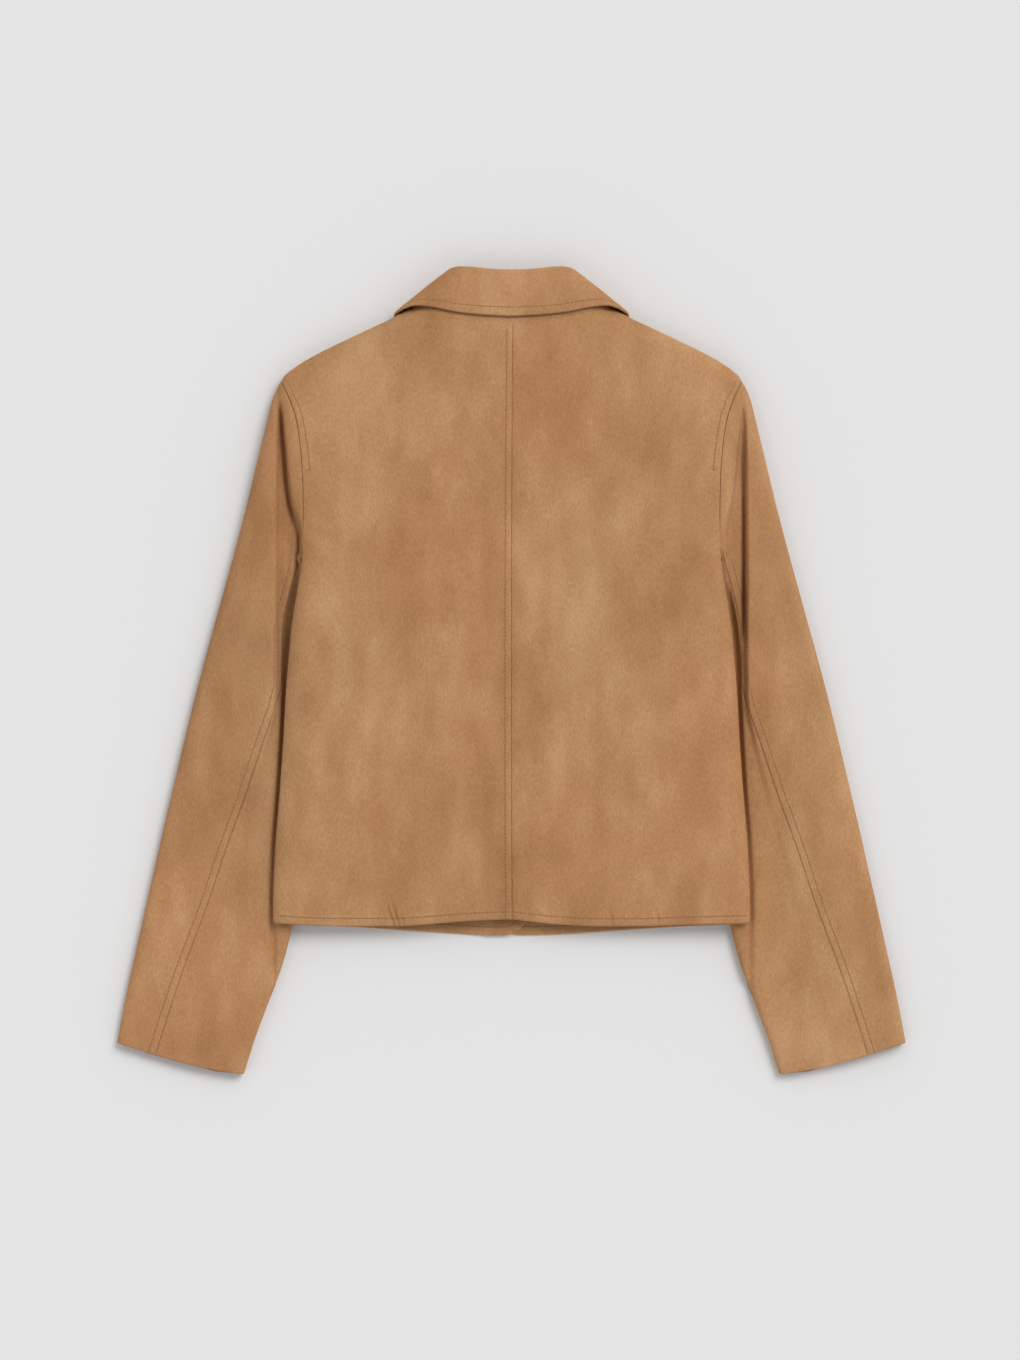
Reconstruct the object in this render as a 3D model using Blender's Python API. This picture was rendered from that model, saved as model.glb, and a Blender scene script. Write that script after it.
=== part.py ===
"""Suede jacket, a short women's cut, laid flat on its front with the back up.

The frame is in metres, +Z up, +Y towards the collar and +X towards the wearer's right. The floor is z = 0 and
the origin is under the middle of the laid jacket. Tables are in millimetres.

Every piece is a wall of suede: a grid of points on its outer face, and the same grid moved inwards by the
thickness. Pieces that are sewn together read their shared edge from the same functions and take the mean of
their directions there, so the walls are mitred and stay one seam gap apart.
"""

import bpy
import numpy as np

MM = 0.001
SUEDE = 1.5 * MM          # one layer of suede
COLLAR_LEAF = 1.8 * MM    # the leaf is two thinner layers, glued and stitched
SEAM_GAP = 0.3 * MM
CORNER_GAP = 0.7 * MM     # more room where a sleeve goes round the shoulder tip or the underarm
LAP = 17 * MM             # each front runs this far past the centre
LAYER = SUEDE + 2 * SEAM_GAP               # rise of a panel that lies on another one
LAP_RAMP = (19 * MM, 34 * MM)              # over this stretch the upper front comes down beside the lap
TIP_X, TIP_Y = 207.5 * MM, 260.3 * MM      # shoulder tip, half of a 415 mm shoulder
NECK_X = 90 * MM                           # where the neckline meets the shoulder fold
UNDERARM_Y = 100 * MM
UNDERARM_SHIFT = np.array([0.9, 0, -3.2]) * MM  # the sleeve starts this far beside the corner of the body
UNDERARM_OUT = (-0.7, -0.7, 0)  # the way out of the sleeve's suede in the corner between body and sleeve
ELBOW_SEAM_Y = 108 * MM   # the elbow and forearm seams leave the armhole here
SIDE_ROLL = 12 * MM       # how far in from the side the body starts to turn down
SHOULDER_ROLL = 14 * MM
SLEEVE_ROLL = 9 * MM      # the same for the outer fold of the sleeve
TUCK_ROLL = 7 * MM        # and for its inner fold
FRONT_FALL = 16 * MM      # the underside of the sleeve comes down to the floor this far from the armhole
UNDER_COLLAR = 2.6 * MM   # the fronts lie this high where the collar leaf is beneath them
SAME_PLACE = 0.05 * MM    # border points this near to each other are one point of a seam
SLOPE_STEP = 0.4 * MM     # distance over which the slope of a face is read
HEM_CORNER = 25 * MM      # radius of the lower corner of each front

SUEDE_COLOUR = (0.434, 0.226, 0.107, 1.0)
SUEDE_ROUGHNESS = 0.95


def table(names, rows):
    """Columns of a table, as metres."""
    return dict(zip(names.split(), np.array(rows, float).T * MM))


# Half width of the body at the side fold and, above the underarm, at the back armhole seam.
SIDE = table("y half_width", [
    (-228, 214.8), (-205, 214.6), (-172, 213.3), (-147, 211.8), (-117, 209.2), (-59, 205.2), (-22, 203.2),
    (10, 200.7), (39, 198.0), (64, 194.2), (89, 190.2), (100, 188.8), (117, 187.9), (142, 187.3), (170, 187.8),
    (190, 189.0), (210.6, 191.3), (227, 194.2), (242, 199.2), (252, 203.8), (257, 206.2), (260.3, 207.5)])

# Upper edge of the back: neckline, then the shoulder fold.
TOP = table("x back", [
    (0, 312.3), (22, 314.4), (44, 317.2), (62, 320.6), (75, 323.4), (84, 324.8), (90, 325), (100, 320.8),
    (112, 314.6), (125, 308.6), (140, 301.5), (159, 292.5), (177, 283.5), (192, 274.7), (204, 265.5),
    (207.5, 260.3)])

FRONT_NECK = table("x y", [
    (-17, 238.6), (4, 239.5), (28, 244.5), (50, 258), (68, 277), (80, 294), (87, 308), (90, 325)])

# Hems, from the wearer's left side seam to the right one.
BACK_HEM = table("x y", [
    (-214.8, -228), (-159, -230.7), (-105, -230.7), (-62, -228), (-32, -225.8), (0, -224.8), (14, -226.4),
    (52, -229.9), (82, -231), (121, -230.7), (160, -229.5), (214.8, -228)])
FRONT_HEM = table("x y", [
    (-214.8, -228), (-160, -231), (-136, -232.2), (-92, -235.2), (-60, -237), (-17, -239), (17, -239),
    (36, -238.6), (67, -236.9), (114, -233.7), (145, -231.8), (214.8, -228)])

# Heights of the body along its length: the middle of the back, how much lower its sides are, the side fold,
# how much of the side roll there is (in thousandths), and the front where the sleeve lies under it.
BODY = table("y crown fall side roll over_sleeve", [
    (-239, 15, -6, 16.7, 1000, 12.5), (-200, 21, -3, 17.5, 1000, 12.5), (-150, 27, 1, 18.5, 1000, 12.5),
    (-100, 31, 3, 19.5, 1000, 12.5), (0, 34, 6, 20, 1000, 12.5), (20, 34, 6, 20, 1000, 12.7),
    (40, 34, 6.3, 20, 1000, 13.4), (60, 34, 6.6, 20, 1000, 14.8), (80, 34, 7, 20, 1000, 16.8),
    (92, 34, 7, 20, 1000, 18), (100, 34, 7, 20, 1000, 18), (108, 34, 7.2, 20, 550, 13.5),
    (122, 34, 7.5, 20, 300, 9), (141, 33.6, 8, 20, 120, 5), (164, 33, 8.5, 20, 30, 2), (186, 32.4, 9, 20, 0, 0.6),
    (206, 31.5, 10, 20, 0, 0),
    (260, 28, 12, 20, 0, 0),
    (326, 25, 12, 20, 0, 0)])
SHOULDER = table("x fold_z", [(0, 12), (150, 12), (207.5, 9.5)])

# The sleeve. outer: its outer fold, which is the outline; fold_z: the height of that fold; strip: width of the
# sleeve head that is turned over beside the armhole seam; valley, crest and face: heights of the hollow beside
# the body, of the ridge past it and of the flat face; ridge: where the ridge runs.
SLEEVE = table("y outer fold_z strip valley crest face ridge", [
    (-364, 361.4, 5.5, 0, 11, 11.3, 11.2, 300), (-336, 355.4, 5.5, 0, 11.2, 11.5, 11.4, 292),
    (-297, 347.9, 6, 0, 11.5, 12, 11.8, 282), (-231, 333.3, 6.3, 0, 12, 12.6, 12.4, 265),
    (-117, 307.4, 6.5, 0, 12, 13.2, 13, 234), (-70, 296.2, 6.5, 0, 12, 14.8, 13.4, 222),
    (-30, 286.5, 6.7, 0, 11.8, 17.5, 13.8, 214), (10, 276, 7, 0, 11.4, 20, 14, 212.8),
    (60, 262.2, 7, 0, 11.6, 21, 14.4, 212.6), (95, 252.6, 7, 0, 13.2, 21, 14.5, 212.5),
    (118, 246.4, 7, 0.5, 13.8, 21, 14.5, 212.4), (128, 243.8, 7, 2, 13.6, 21, 14.5, 212.4),
    (153, 237.4, 7, 9.5, 13, 21, 14.5, 212.4), (183, 230.2, 7.2, 12, 12.4, 20.6, 14.5, 212.3),
    (207, 224.4, 7.5, 12, 14, 19.4, 14.3, 212.2), (225, 220, 7.8, 10.5, 14.5, 17.8, 14, 211.8),
    (243, 215.4, 8.3, 7, 13.2, 14.8, 13.2, 211), (253, 211.4, 9, 3, 11, 12, 11.5, 209.6),
    (260.3, 207.5, 9.5, 1, 9.5, 9.8, 9.8, 208.6)])

# The part of the sleeve that is tucked under the side of the body. inner: its inner fold; fold_z: the height of
# that fold; top: the height of its upper face beside and under the body.
TUCK = table("y inner fold_z top", [
    (-364.5, 241.4, 5.5, 11), (-334, 231.8, 5.6, 11.2), (-299, 218.8, 5.8, 11.5), (-265, 206.2, 6, 11.8),
    (-229, 196.7, 6.2, 12), (-190, 186.5, 6.2, 12), (-140, 175, 6.2, 12), (-90, 165.5, 6.2, 12),
    (-40, 160.5, 6.2, 12), (0, 161, 6.2, 12), (20, 163, 6.2, 12.1), (42, 167.5, 6.5, 12.6),
    (62, 174, 7.2, 13.6), (77, 182, 8.6, 15.2), (87, 187.4, 11, 16.8), (93, 189.1, 14, 18.4),
    (97, 189.2, 17, 19.4), (100, 188.8, 20, 20)])

# The two seams of the sleeve: the elbow seam on its upper side and the forearm seam beneath.
ELBOW_SEAM = table("y x", [
    (-348, 321.4), (-304, 307.4), (-267, 294.8), (-207, 272.5), (-163, 257.9), (-109, 238.4), (-65, 223.7),
    (-45, 216.5), (-26, 210.2), (-9, 206.9), (16, 206.7), (36, 206.3), (52, 203.8), (67, 200.3), (78, 197.3),
    (87, 194.8), (95, 192.6), (102, 190.5), (108, 188.3)])
FOREARM_SEAM = table("y x", [
    (-362, 268), (-334, 258), (-299, 246), (-265, 234.2), (-229, 224.7), (-190, 214.5), (-140, 203),
    (-90, 193.5), (-40, 188.5), (-6, 189), (20, 193), (46, 200), (66, 203), (79, 202), (88, 199),
    (96, 195.2), (102, 191.4), (108, 187.1)])

# Where the rows of the sleeve cross its four lines below the underarm.
ARM_ROWS = table("elbow outer inner forearm", [
    (108, 137, 100, 108), (102, 129, 95.5, 102), (95, 120, 90, 96), (87, 110, 84, 88), (78, 99, 76, 79),
    (67, 87, 64, 66), (50, 72, 44, 46), (28, 51, 18, 20), (4, 27, -8, -6), (-22, 0, -36, -34),
    (-52, -31, -67, -65), (-86, -66, -102, -100), (-124, -105, -140, -138), (-164, -146, -181, -179),
    (-206, -190, -223, -221), (-250, -235, -267, -265), (-298, -285, -315, -313), (-347, -336, -364.5, -362)])

# The collar, from the centre back to the front end. crest: the fold between stand and leaf; edge: the free edge
# of the leaf; half: half the thickness of the fold; lean: how far the fold has turned over, in degrees: the leaf
# is on top at 0, outside at 90 and beneath at 180.
COLLAR = table("row crest_x crest_y crest_z edge_x edge_y edge_z half lean", [
    (0, 0, 360.5, 17, 0, 319.3, 30.6, 5, 0), (1, 13.5, 360.9, 17, 25, 320.5, 30.5, 5, 0),
    (2, 27, 362, 16.6, 50, 322.8, 30, 4.9, 0), (3, 38, 363.2, 16, 70, 325.8, 29, 4.7, 0),
    (4, 46, 363.4, 15.3, 86, 327.6, 26.8, 4.4, 8), (5, 51, 362, 14.5, 98, 325.4, 21.5, 3.9, 30),
    (5.6, 52.9, 360, 12.8, 102.5, 323.4, 16, 3.4, 60), (6, 53.6, 358.4, 9.5, 105, 321.8, 11.5, 3.1, 88),
    (6.3, 54, 357.2, 6.5, 106.6, 319.3, 4.5, 2.9, 115), (6.6, 54.6, 355, 4.2, 107, 314, 0.3, 2.6, 145),
    (7, 55.6, 347, 2.7, 104.6, 304, 0, 2.3, 170), (8, 54, 326, 1.95, 98, 284, 0, 1.95, 180),
    (9, 45, 306, 1.95, 89, 262, 0, 1.95, 180), (10, 33, 287, 1.95, 79, 241, 0, 1.95, 180),
    (11, 18, 271, 1.95, 70, 225, 0, 1.95, 180), (12, 5, 264, 1.95, 60, 212, 0, 1.95, 180)])
NECK_CLEARANCE = 2.4 * MM  # the stand keeps this far from the fronts where it goes over the shoulder
CREST_TURNS = np.radians([0, 35, 65, 90])
LEAF_SHARES = np.array([0.12, 0.34, 0.6, 0.83, 1])
STAND_SHARES = np.array([0.15, 0.45, 0.75, 1])

# Grid lines. The first ones of each list of columns are those of the neckline.
NECK_COLUMNS_BACK = np.array([0, 22, 44, 62, 75, 81, 85.5, 88.3, 90]) * MM
NECK_COLUMNS_FRONT = np.array([-17, -14.5, -8, 4, 19, 34, 50, 60, 70, 78, 83, 86.5, 88.6, 89.6, 90]) * MM
COLLAR_ROWS_BACK = (np.array([0, 22, 44, 62, 75, 84, 90]) * MM, np.arange(7))
COLLAR_ROWS_FRONT = (np.array([4, 28, 50, 68, 80, 87, 90]) * MM, np.arange(12, 5, -1))
SHOULDER_COLUMNS = np.array([110, 135, 160, 180, 193, 201, 205.5, 207.5]) * MM
SIDE_ROWS = np.array([-228, -220, -204, -180, -150, -115, -78, -40, -5, 25, 50, 70, 86, 100, 108, 122, 141, 164,
                      186, 206, 224, 240, 252, 257, 260.3]) * MM
HEAD_ROWS_OUTER = np.array([260.3, 256.5, 247, 233.5, 216, 195, 172, 152, 137]) * MM
HEAD_ROWS_SEAM = np.array([252, 240, 224, 206, 186, 164, 141, 122, 108]) * MM
CUFF_BULGE = 2 * MM
SLEEVE_TOP_COLUMNS = np.array([0, 0.08, 0.16, 0.24, 0.32, 0.40, 0.50, 0.62, 0.75, 0.86, 0.93, 0.98, 1])
SLEEVE_BELOW_COLUMNS = np.array([0.02, 0.07, 0.16, 0.38, 0.62, 0.82, 0.93, 1])
TUCK_TOP_COLUMNS = np.array([0, 0.2, 0.45, 0.7, 0.86, 0.95, 1])
TUCK_BELOW_COLUMNS = np.array([0.06, 0.16, 0.32, 0.62, 1])


def read(columns, key, name, at):
    """The column name at the values of the column key, as a smooth curve that never overshoots its rows."""
    xs, ys = columns[key], columns[name]
    step = np.diff(xs)
    slope = np.diff(ys) / step
    product = slope[:-1] * slope[1:]
    total = slope[:-1] + slope[1:]
    inner = np.where(product > 0, 2 * product / np.where(product > 0, total, 1), 0)
    tangent = np.concatenate([slope[:1], inner, slope[-1:]])
    at = np.clip(np.asarray(at, float), xs[0], xs[-1])
    k = np.clip(np.searchsorted(xs, at, side="right") - 1, 0, len(step) - 1)
    u = (at - xs[k]) / step[k]
    return (ys[k] * (1 + 2 * u) * (1 - u) ** 2 + tangent[k] * step[k] * u * (1 - u) ** 2
            + ys[k + 1] * u * u * (3 - 2 * u) + tangent[k + 1] * step[k] * u * u * (u - 1))


def ease(value):
    """0 below 0, 1 above 1 and smooth between."""
    value = np.clip(value, 0, 1)
    return value * value * (3 - 2 * value)


def round_off(distance, radius):
    """0 on a fold line and 1 past its radius, as the height of an ellipse."""
    along = 1 - np.clip(distance / radius, 0, 1)
    return np.sqrt(1 - along * along)


def turn_down(distance, reach, drop):
    """How far a face has come down towards a fold: 0 past the reach and 1 on the fold. A deep drop turns
    as an ellipse and a shallow one as a parabola, so that the wall is never bent tighter than its thickness."""
    along = 1 - np.clip(distance / reach, 0, 1)
    ellipse = ease((np.abs(drop) / reach - 0.3) / 0.25)
    return along ** 2 + ellipse * (1 - np.sqrt(1 - along ** 2) - along ** 2)


# ---------------------------------------------------------------- body

def half_width(y):
    return read(SIDE, "y", "half_width", y)


def front_half_width(y):
    """The front armhole is scooped 8 mm deeper than the back one."""
    scoop = 8 * MM * np.sin(np.pi * np.clip((y - UNDERARM_Y) / (TIP_Y - UNDERARM_Y), 0, 1))
    return half_width(y) - scoop


def shoulder_line(x):
    """The shoulder fold, carried on in a straight line over the neck hole."""
    past_neck = np.clip(NECK_X - x, 0, None)
    return read(TOP, "x", "back", np.maximum(x, NECK_X)) + 0.45 * past_neck


def back_height(x, y):
    """Outer face of the back: a low crown that turns down at the side and shoulder folds."""
    crown = read(BODY, "y", "crown", y) - read(BODY, "y", "fall", y) * (x / half_width(y)) ** 2
    side = read(BODY, "y", "side", y)
    roll = read(BODY, "y", "roll", y)
    drop = roll * (crown - side)
    crown = crown - drop * turn_down(half_width(y) - x, SIDE_ROLL, drop)
    drop = crown - read(SHOULDER, "x", "fold_z", x)
    return crown - drop * turn_down(shoulder_line(x) - y, SHOULDER_ROLL, drop)


def front_height(x, y, upper):
    """Outer face of a front, which lies on the floor, on the collar, and on the sleeve at the side.
    x is measured from the centre towards this front's own side; upper is 1 for the front that laps over."""
    flat = UNDER_COLLAR * ease((y - 150 * MM) / (56 * MM))
    flat = flat + upper * LAYER * ease((LAP_RAMP[1] - x) / (LAP_RAMP[1] - LAP_RAMP[0]))
    start = np.minimum(read(TUCK, "y", "inner", y), front_half_width(y) - 4 * MM) - 42 * MM
    flat = flat + read(BODY, "y", "over_sleeve", y) * ease((x - start) / (34 * MM))
    side = read(BODY, "y", "side", y)
    roll = read(BODY, "y", "roll", y)
    rise = roll * (side - flat)
    flat = flat + rise * turn_down(front_half_width(y) - x, SIDE_ROLL, rise)
    rise = read(SHOULDER, "x", "fold_z", x) - flat
    return flat + rise * turn_down(shoulder_line(x) - y, SHOULDER_ROLL, rise)


def field(plan, height, facing):
    """Points over a plan at the given height, and the direction out of the face there; facing is 1 for a face
    that looks up and -1 for one that looks down."""
    x, y = plan[..., 0], plan[..., 1]
    slope_x = (height(x + SLOPE_STEP, y) - height(x - SLOPE_STEP, y)) / (2 * SLOPE_STEP)
    slope_y = (height(x, y + SLOPE_STEP) - height(x, y - SLOPE_STEP)) / (2 * SLOPE_STEP)
    out = facing * np.stack([-slope_x, -slope_y, np.ones_like(slope_x)], -1)
    return np.concatenate([plan, height(x, y)[..., None]], axis=-1), unit(out)


def unit(vectors):
    return vectors / np.linalg.norm(vectors, axis=-1, keepdims=True)


def panel_grid(columns_top, start_x, width, hem, top, height, side, facing):
    """Rows from the hem to the shoulder, columns from the centre to the side, and the directions there."""
    share = (columns_top - start_x) / (TIP_X - start_x)
    up = (SIDE_ROWS - SIDE_ROWS[0]) / (SIDE_ROWS[-1] - SIDE_ROWS[0])
    share, up = share[None, :], up[:, None]
    x = start_x + share * (width(SIDE_ROWS)[:, None] - start_x)
    low = hem(x[:1])
    y = low + up * (top(columns_top)[None, :] - low)
    points, out = field(np.stack([x, y], -1), height, facing)
    return points * (side, 1, 1), out * (side, 1, 1)


def back_grid(side):
    columns = np.concatenate([NECK_COLUMNS_BACK, SHOULDER_COLUMNS])
    return panel_grid(columns, 0.0, half_width, lambda x: read(BACK_HEM, "x", "y", side * x),
                      lambda x: read(TOP, "x", "back", x), back_height, side, 1)


def front_hem(x, side):
    """The hem with the rounded lower corner at the front edge."""
    inside = np.clip((x + LAP) / HEM_CORNER, 0, 1)
    return read(FRONT_HEM, "x", "y", side * x) + HEM_CORNER * (1 - np.sqrt(1 - (1 - inside) ** 2))


def front_grid(side):
    columns = np.concatenate([NECK_COLUMNS_FRONT, SHOULDER_COLUMNS])

    def top(x):
        neck = read(FRONT_NECK, "x", "y", x)
        return np.where(x <= NECK_X, neck, read(TOP, "x", "back", x))

    upper = 1.0 if side < 0 else 0.0
    return panel_grid(columns, -LAP, front_half_width, lambda x: front_hem(x, side), top,
                      lambda x, y: front_height(x, y, upper), side, -1)


# ---------------------------------------------------------------- sleeves

def beside_body(y):
    """Height of the sleeve where it leaves the body: the armhole seam, and below it the tucked part."""
    seam = back_height(half_width(y), y)
    return np.where(y >= UNDERARM_Y, seam, read(TUCK, "y", "top", y))


def sleeve_top_height(x, y):
    """Outer face of the sleeve's upper side: the turned strip, the hollow, the ridge and the flat face,
    rounded off at the outer and the inner fold."""
    out = x - half_width(y)
    strip = read(SLEEVE, "y", "strip", y)
    fall = 8 * MM + 5 * MM * ease((150 * MM - y) / (30 * MM))
    near = beside_body(y) - np.where(strip > 0, 1.5 * MM * np.clip(out / np.maximum(strip, MM), 0, 1), 0)
    valley = read(SLEEVE, "y", "valley", y)
    z = valley + (near - valley) * (1 - ease((out - strip) / fall))
    ridge = read(SLEEVE, "y", "ridge", y)
    crest = read(SLEEVE, "y", "crest", y)
    face = read(SLEEVE, "y", "face", y)
    z = z + (crest - valley) * ease((x - ridge + 9 * MM) / (9 * MM))
    z = z + (face - crest) * ease((x - ridge) / (45 * MM))
    outer = read(SLEEVE, "y", "outer", y)
    fold = read(SLEEVE, "y", "fold_z", y)
    radius = np.minimum(SLEEVE_ROLL, 0.8 * (outer - half_width(y)) + 0.01 * MM)
    z = fold + (z - fold) * round_off(outer - x, radius)
    tuck = read(TUCK, "y", "fold_z", y)
    inner = read(TUCK, "y", "inner", y)
    return np.where(y < UNDERARM_Y, tuck + (z - tuck) * round_off(x - inner, TUCK_ROLL), z)


def sleeve_below_height(x, y):
    """Outer face of the sleeve's underside: on the floor, up to the folds and to the front armhole seam."""
    outer = read(SLEEVE, "y", "outer", y)
    radius = np.minimum(SLEEVE_ROLL, 0.8 * (outer - front_half_width(y)) + 0.01 * MM)
    z = read(SLEEVE, "y", "fold_z", y) * (1 - round_off(outer - x, radius))
    edge = front_half_width(y)
    joined = z + (front_height(edge, y, 0.0) - z) * (1 - np.clip((x - edge) / FRONT_FALL, 0, 1)) ** 2
    inner = read(TUCK, "y", "inner", y)
    seamward = ease((y - 45 * MM) / (UNDERARM_Y - 45 * MM))
    rolled = 1 - round_off(x - inner, TUCK_ROLL)
    share = rolled + seamward * ((1 - np.clip((x - inner) / FRONT_FALL, 0, 1)) ** 2 - rolled)
    tucked = z + (read(TUCK, "y", "fold_z", y) - z) * share
    return np.where(y < UNDERARM_Y, tucked, joined)


def arm_rows():
    """The ends of each row of the sleeve below the underarm, as x and y of its four lines."""
    lines = {"elbow": (ELBOW_SEAM, "x"), "outer": (SLEEVE, "outer"), "inner": (TUCK, "inner"),
             "forearm": (FOREARM_SEAM, "x")}
    ends = {name: np.stack([read(columns, "y", column, ARM_ROWS[name]), ARM_ROWS[name]], -1)
            for name, (columns, column) in lines.items()}
    ends["elbow"][0, 0] = half_width(ELBOW_SEAM_Y)
    ends["forearm"][0, 0] = front_half_width(ELBOW_SEAM_Y)
    return ends


def between(start, end, share):
    """Points on straight lines from each start to its end, at the given shares."""
    return start[:, None, :] + (end - start)[:, None, :] * share[None, :, None]


def fold_over(start, fold, end, shares_above, shares_below):
    """A band of the sleeve from one seam over a fold to the other seam, and the directions out of it."""
    above, up = field(between(start, fold, shares_above), sleeve_top_height, 1)
    below, down = field(between(fold, end, np.concatenate([[0], shares_below])), sleeve_below_height, -1)
    up[:, -1] = unit(up[:, -1] + down[:, 0])
    return np.concatenate([above, below[:, 1:]], axis=1), np.concatenate([up, down[:, 1:]], axis=1)


def seam_stretch(width, height, count):
    """Points on the armhole seam from the first head row up to the shoulder tip."""
    y = SIDE_ROWS[SIDE_ROWS >= HEAD_ROWS_SEAM[0]]
    x = width(y)
    points = np.stack([x, y, height(x, y)], -1)
    length = np.concatenate([[0], np.cumsum(np.linalg.norm(np.diff(points, axis=0), axis=1))])
    at = np.linspace(0, length[-1], count)
    return np.stack([np.interp(at, length, points[:, k]) for k in range(3)], -1)


def top_sleeve_grid(side):
    """Rows from the shoulder tip to the cuff, columns from the back seam over the outer fold to the front."""
    ends = arm_rows()
    head_outer = np.stack([read(SLEEVE, "y", "outer", HEAD_ROWS_OUTER), HEAD_ROWS_OUTER], -1)
    head_back = np.stack([half_width(HEAD_ROWS_SEAM), HEAD_ROWS_SEAM], -1)
    head_front = np.stack([front_half_width(HEAD_ROWS_SEAM), HEAD_ROWS_SEAM], -1)
    outer = np.concatenate([head_outer[:-1], ends["outer"]])
    back = np.concatenate([head_back[:-1], ends["elbow"]])
    front = np.concatenate([head_front[:-1], ends["forearm"]])
    points, out = fold_over(back, outer, front, SLEEVE_TOP_COLUMNS, SLEEVE_BELOW_COLUMNS)
    low = seam_stretch(front_half_width, lambda x, y: front_height(x, y, 0.0), len(SLEEVE_BELOW_COLUMNS) + 1)
    points[0] = np.concatenate([seam_stretch(half_width, back_height, len(SLEEVE_TOP_COLUMNS)), low[::-1][1:]])
    head = len(HEAD_ROWS_SEAM)
    points[:head, 0, 2] = back_height(back[:head, 0], back[:head, 1])
    points[:head, -1, 2] = front_height(front[:head, 0], front[:head, 1], 0.0)
    return points * (side, 1, 1), out * (side, 1, 1)


def under_sleeve_grid(side):
    """Rows from the underarm to the cuff, columns from the elbow seam over the inner fold to the front."""
    ends = arm_rows()
    points, out = fold_over(ends["elbow"], ends["inner"], ends["forearm"], TUCK_TOP_COLUMNS, TUCK_BELOW_COLUMNS)
    down = (ARM_ROWS["elbow"][0] - ARM_ROWS["elbow"]) / (ARM_ROWS["elbow"][0] - ARM_ROWS["elbow"][-1])
    above = len(TUCK_TOP_COLUMNS)
    bulge = 4 * CUFF_BULGE * TUCK_TOP_COLUMNS * (1 - TUCK_TOP_COLUMNS)
    points[:, :above, 1] -= bulge[None, :] * down[:, None] ** 3
    corner = np.array([UNDERARM_Y, ELBOW_SEAM_Y])
    behind = np.stack([half_width(corner), corner, back_height(half_width(corner), corner)], -1)
    before = np.stack([front_half_width(corner), corner, front_height(front_half_width(corner), corner, 0.0)], -1)
    points[0, :above] = behind[1] + (behind[0] - behind[1]) * TUCK_TOP_COLUMNS[:, None]
    points[0, above:] = before[0] + (before[1] - before[0]) * TUCK_BELOW_COLUMNS[:, None]
    to_corner = 1 - (points[0, :, 1:2] - corner[0]) / (corner[1] - corner[0])
    points[0] += to_corner * UNDERARM_SHIFT
    return points * (side, 1, 1), out * (side, 1, 1)


# ---------------------------------------------------------------- collar

def collar_line(name, rows, side):
    x = read(COLLAR, "row", name + "_x", rows)
    return np.stack([side * x, read(COLLAR, "row", name + "_y", rows), read(COLLAR, "row", name + "_z", rows)], -1)


def collar_bands(side, rows, sewn):
    """Leaf and stand of one half: each turns over half of the crest, then runs straight to its other edge."""
    crest = collar_line("crest", rows, side)
    edge = collar_line("edge", rows, side)
    away = unit(unit(edge[:, :2] - crest[:, :2]) + unit(sewn[:, :2] - crest[:, :2]))
    away = np.concatenate([away, np.zeros((len(rows), 1))], axis=1)
    outward = np.stack([-away[:, 1] * side, away[:, 0] * side, np.zeros(len(rows))], -1)
    lean = np.radians(read(COLLAR, "row", "lean", rows) / MM)[:, None]
    across = np.cos(lean) * (0, 0, 1) + np.sin(lean) * outward
    half = read(COLLAR, "row", "half", rows)[:, None]
    centre = crest + away * half
    bands = []
    for face, end, shares in ((1, edge, LEAF_SHARES), (-1, sewn, STAND_SHARES)):
        turned = [face * across * np.sin(turn) - away * np.cos(turn) for turn in CREST_TURNS]
        points = [centre + half * out for out in turned]
        points += [points[-1] + (end - points[-1]) * share for share in shares]
        bands.append((np.stack(points, axis=1), np.stack(turned, axis=1)))
    return bands


def collar(backs, fronts):
    """Leaf and stand, from the wearer's left front end round the back to the right one. The stand is sewn along
    the necklines and seen from inside the neck, so its outer face carries on from the panels' inner face."""
    used = slice(list(NECK_COLUMNS_FRONT).index(4 * MM), len(NECK_COLUMNS_FRONT) - 1)
    count = len(NECK_COLUMNS_BACK)
    rows = np.concatenate([np.interp(NECK_COLUMNS_BACK, *COLLAR_ROWS_BACK),
                           np.interp(NECK_COLUMNS_FRONT[used], *COLLAR_ROWS_FRONT)[::-1]]) * MM
    bands, seam = {}, {}
    for side in (-1, 1):
        back, front = backs[side], fronts[side]
        neck = np.concatenate([back.points[-1, :count], front.points[-1, used][::-1]])
        inward = np.concatenate([back.normals[-1, :count], front.normals[-1, used][::-1]])
        near = ease(1.6 - 1.3 * np.abs(rows / MM - 6.3))[:, None]
        towards = unit(collar_line("crest", rows, side) - neck)
        bands[side] = collar_bands(side, rows, neck - SUEDE * inward + NECK_CLEARANCE * near * towards)
        seam[side] = -inward, near
    sheets = []
    for k, name, thickness, seams in ((0, "collar_leaf", COLLAR_LEAF, dict(first_column=SEAM_GAP)),
                                      (1, "collar_stand", SUEDE,
                                       dict(first_column=SEAM_GAP, last_column=2 * SEAM_GAP))):
        points, turned = (np.concatenate([bands[-1][k][n][:0:-1], bands[1][k][n]]) for n in (0, 1))
        out = unit(np.cross(np.gradient(points, axis=0), np.gradient(points, axis=1)))
        if np.sum(out[:, :turned.shape[1]] * turned) < 0:
            out = -out
        out[:, :turned.shape[1]] = turned
        if k:
            sewn, near = (np.concatenate([seam[-1][n][:0:-1], seam[1][n]]) for n in (0, 1))
            out[:, -1] = unit((1 - near) * sewn + near * out[:, -1])
        sheets.append(Sheet(name, (points, out), thickness, seams))
    return sheets


# ---------------------------------------------------------------- walls

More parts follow.
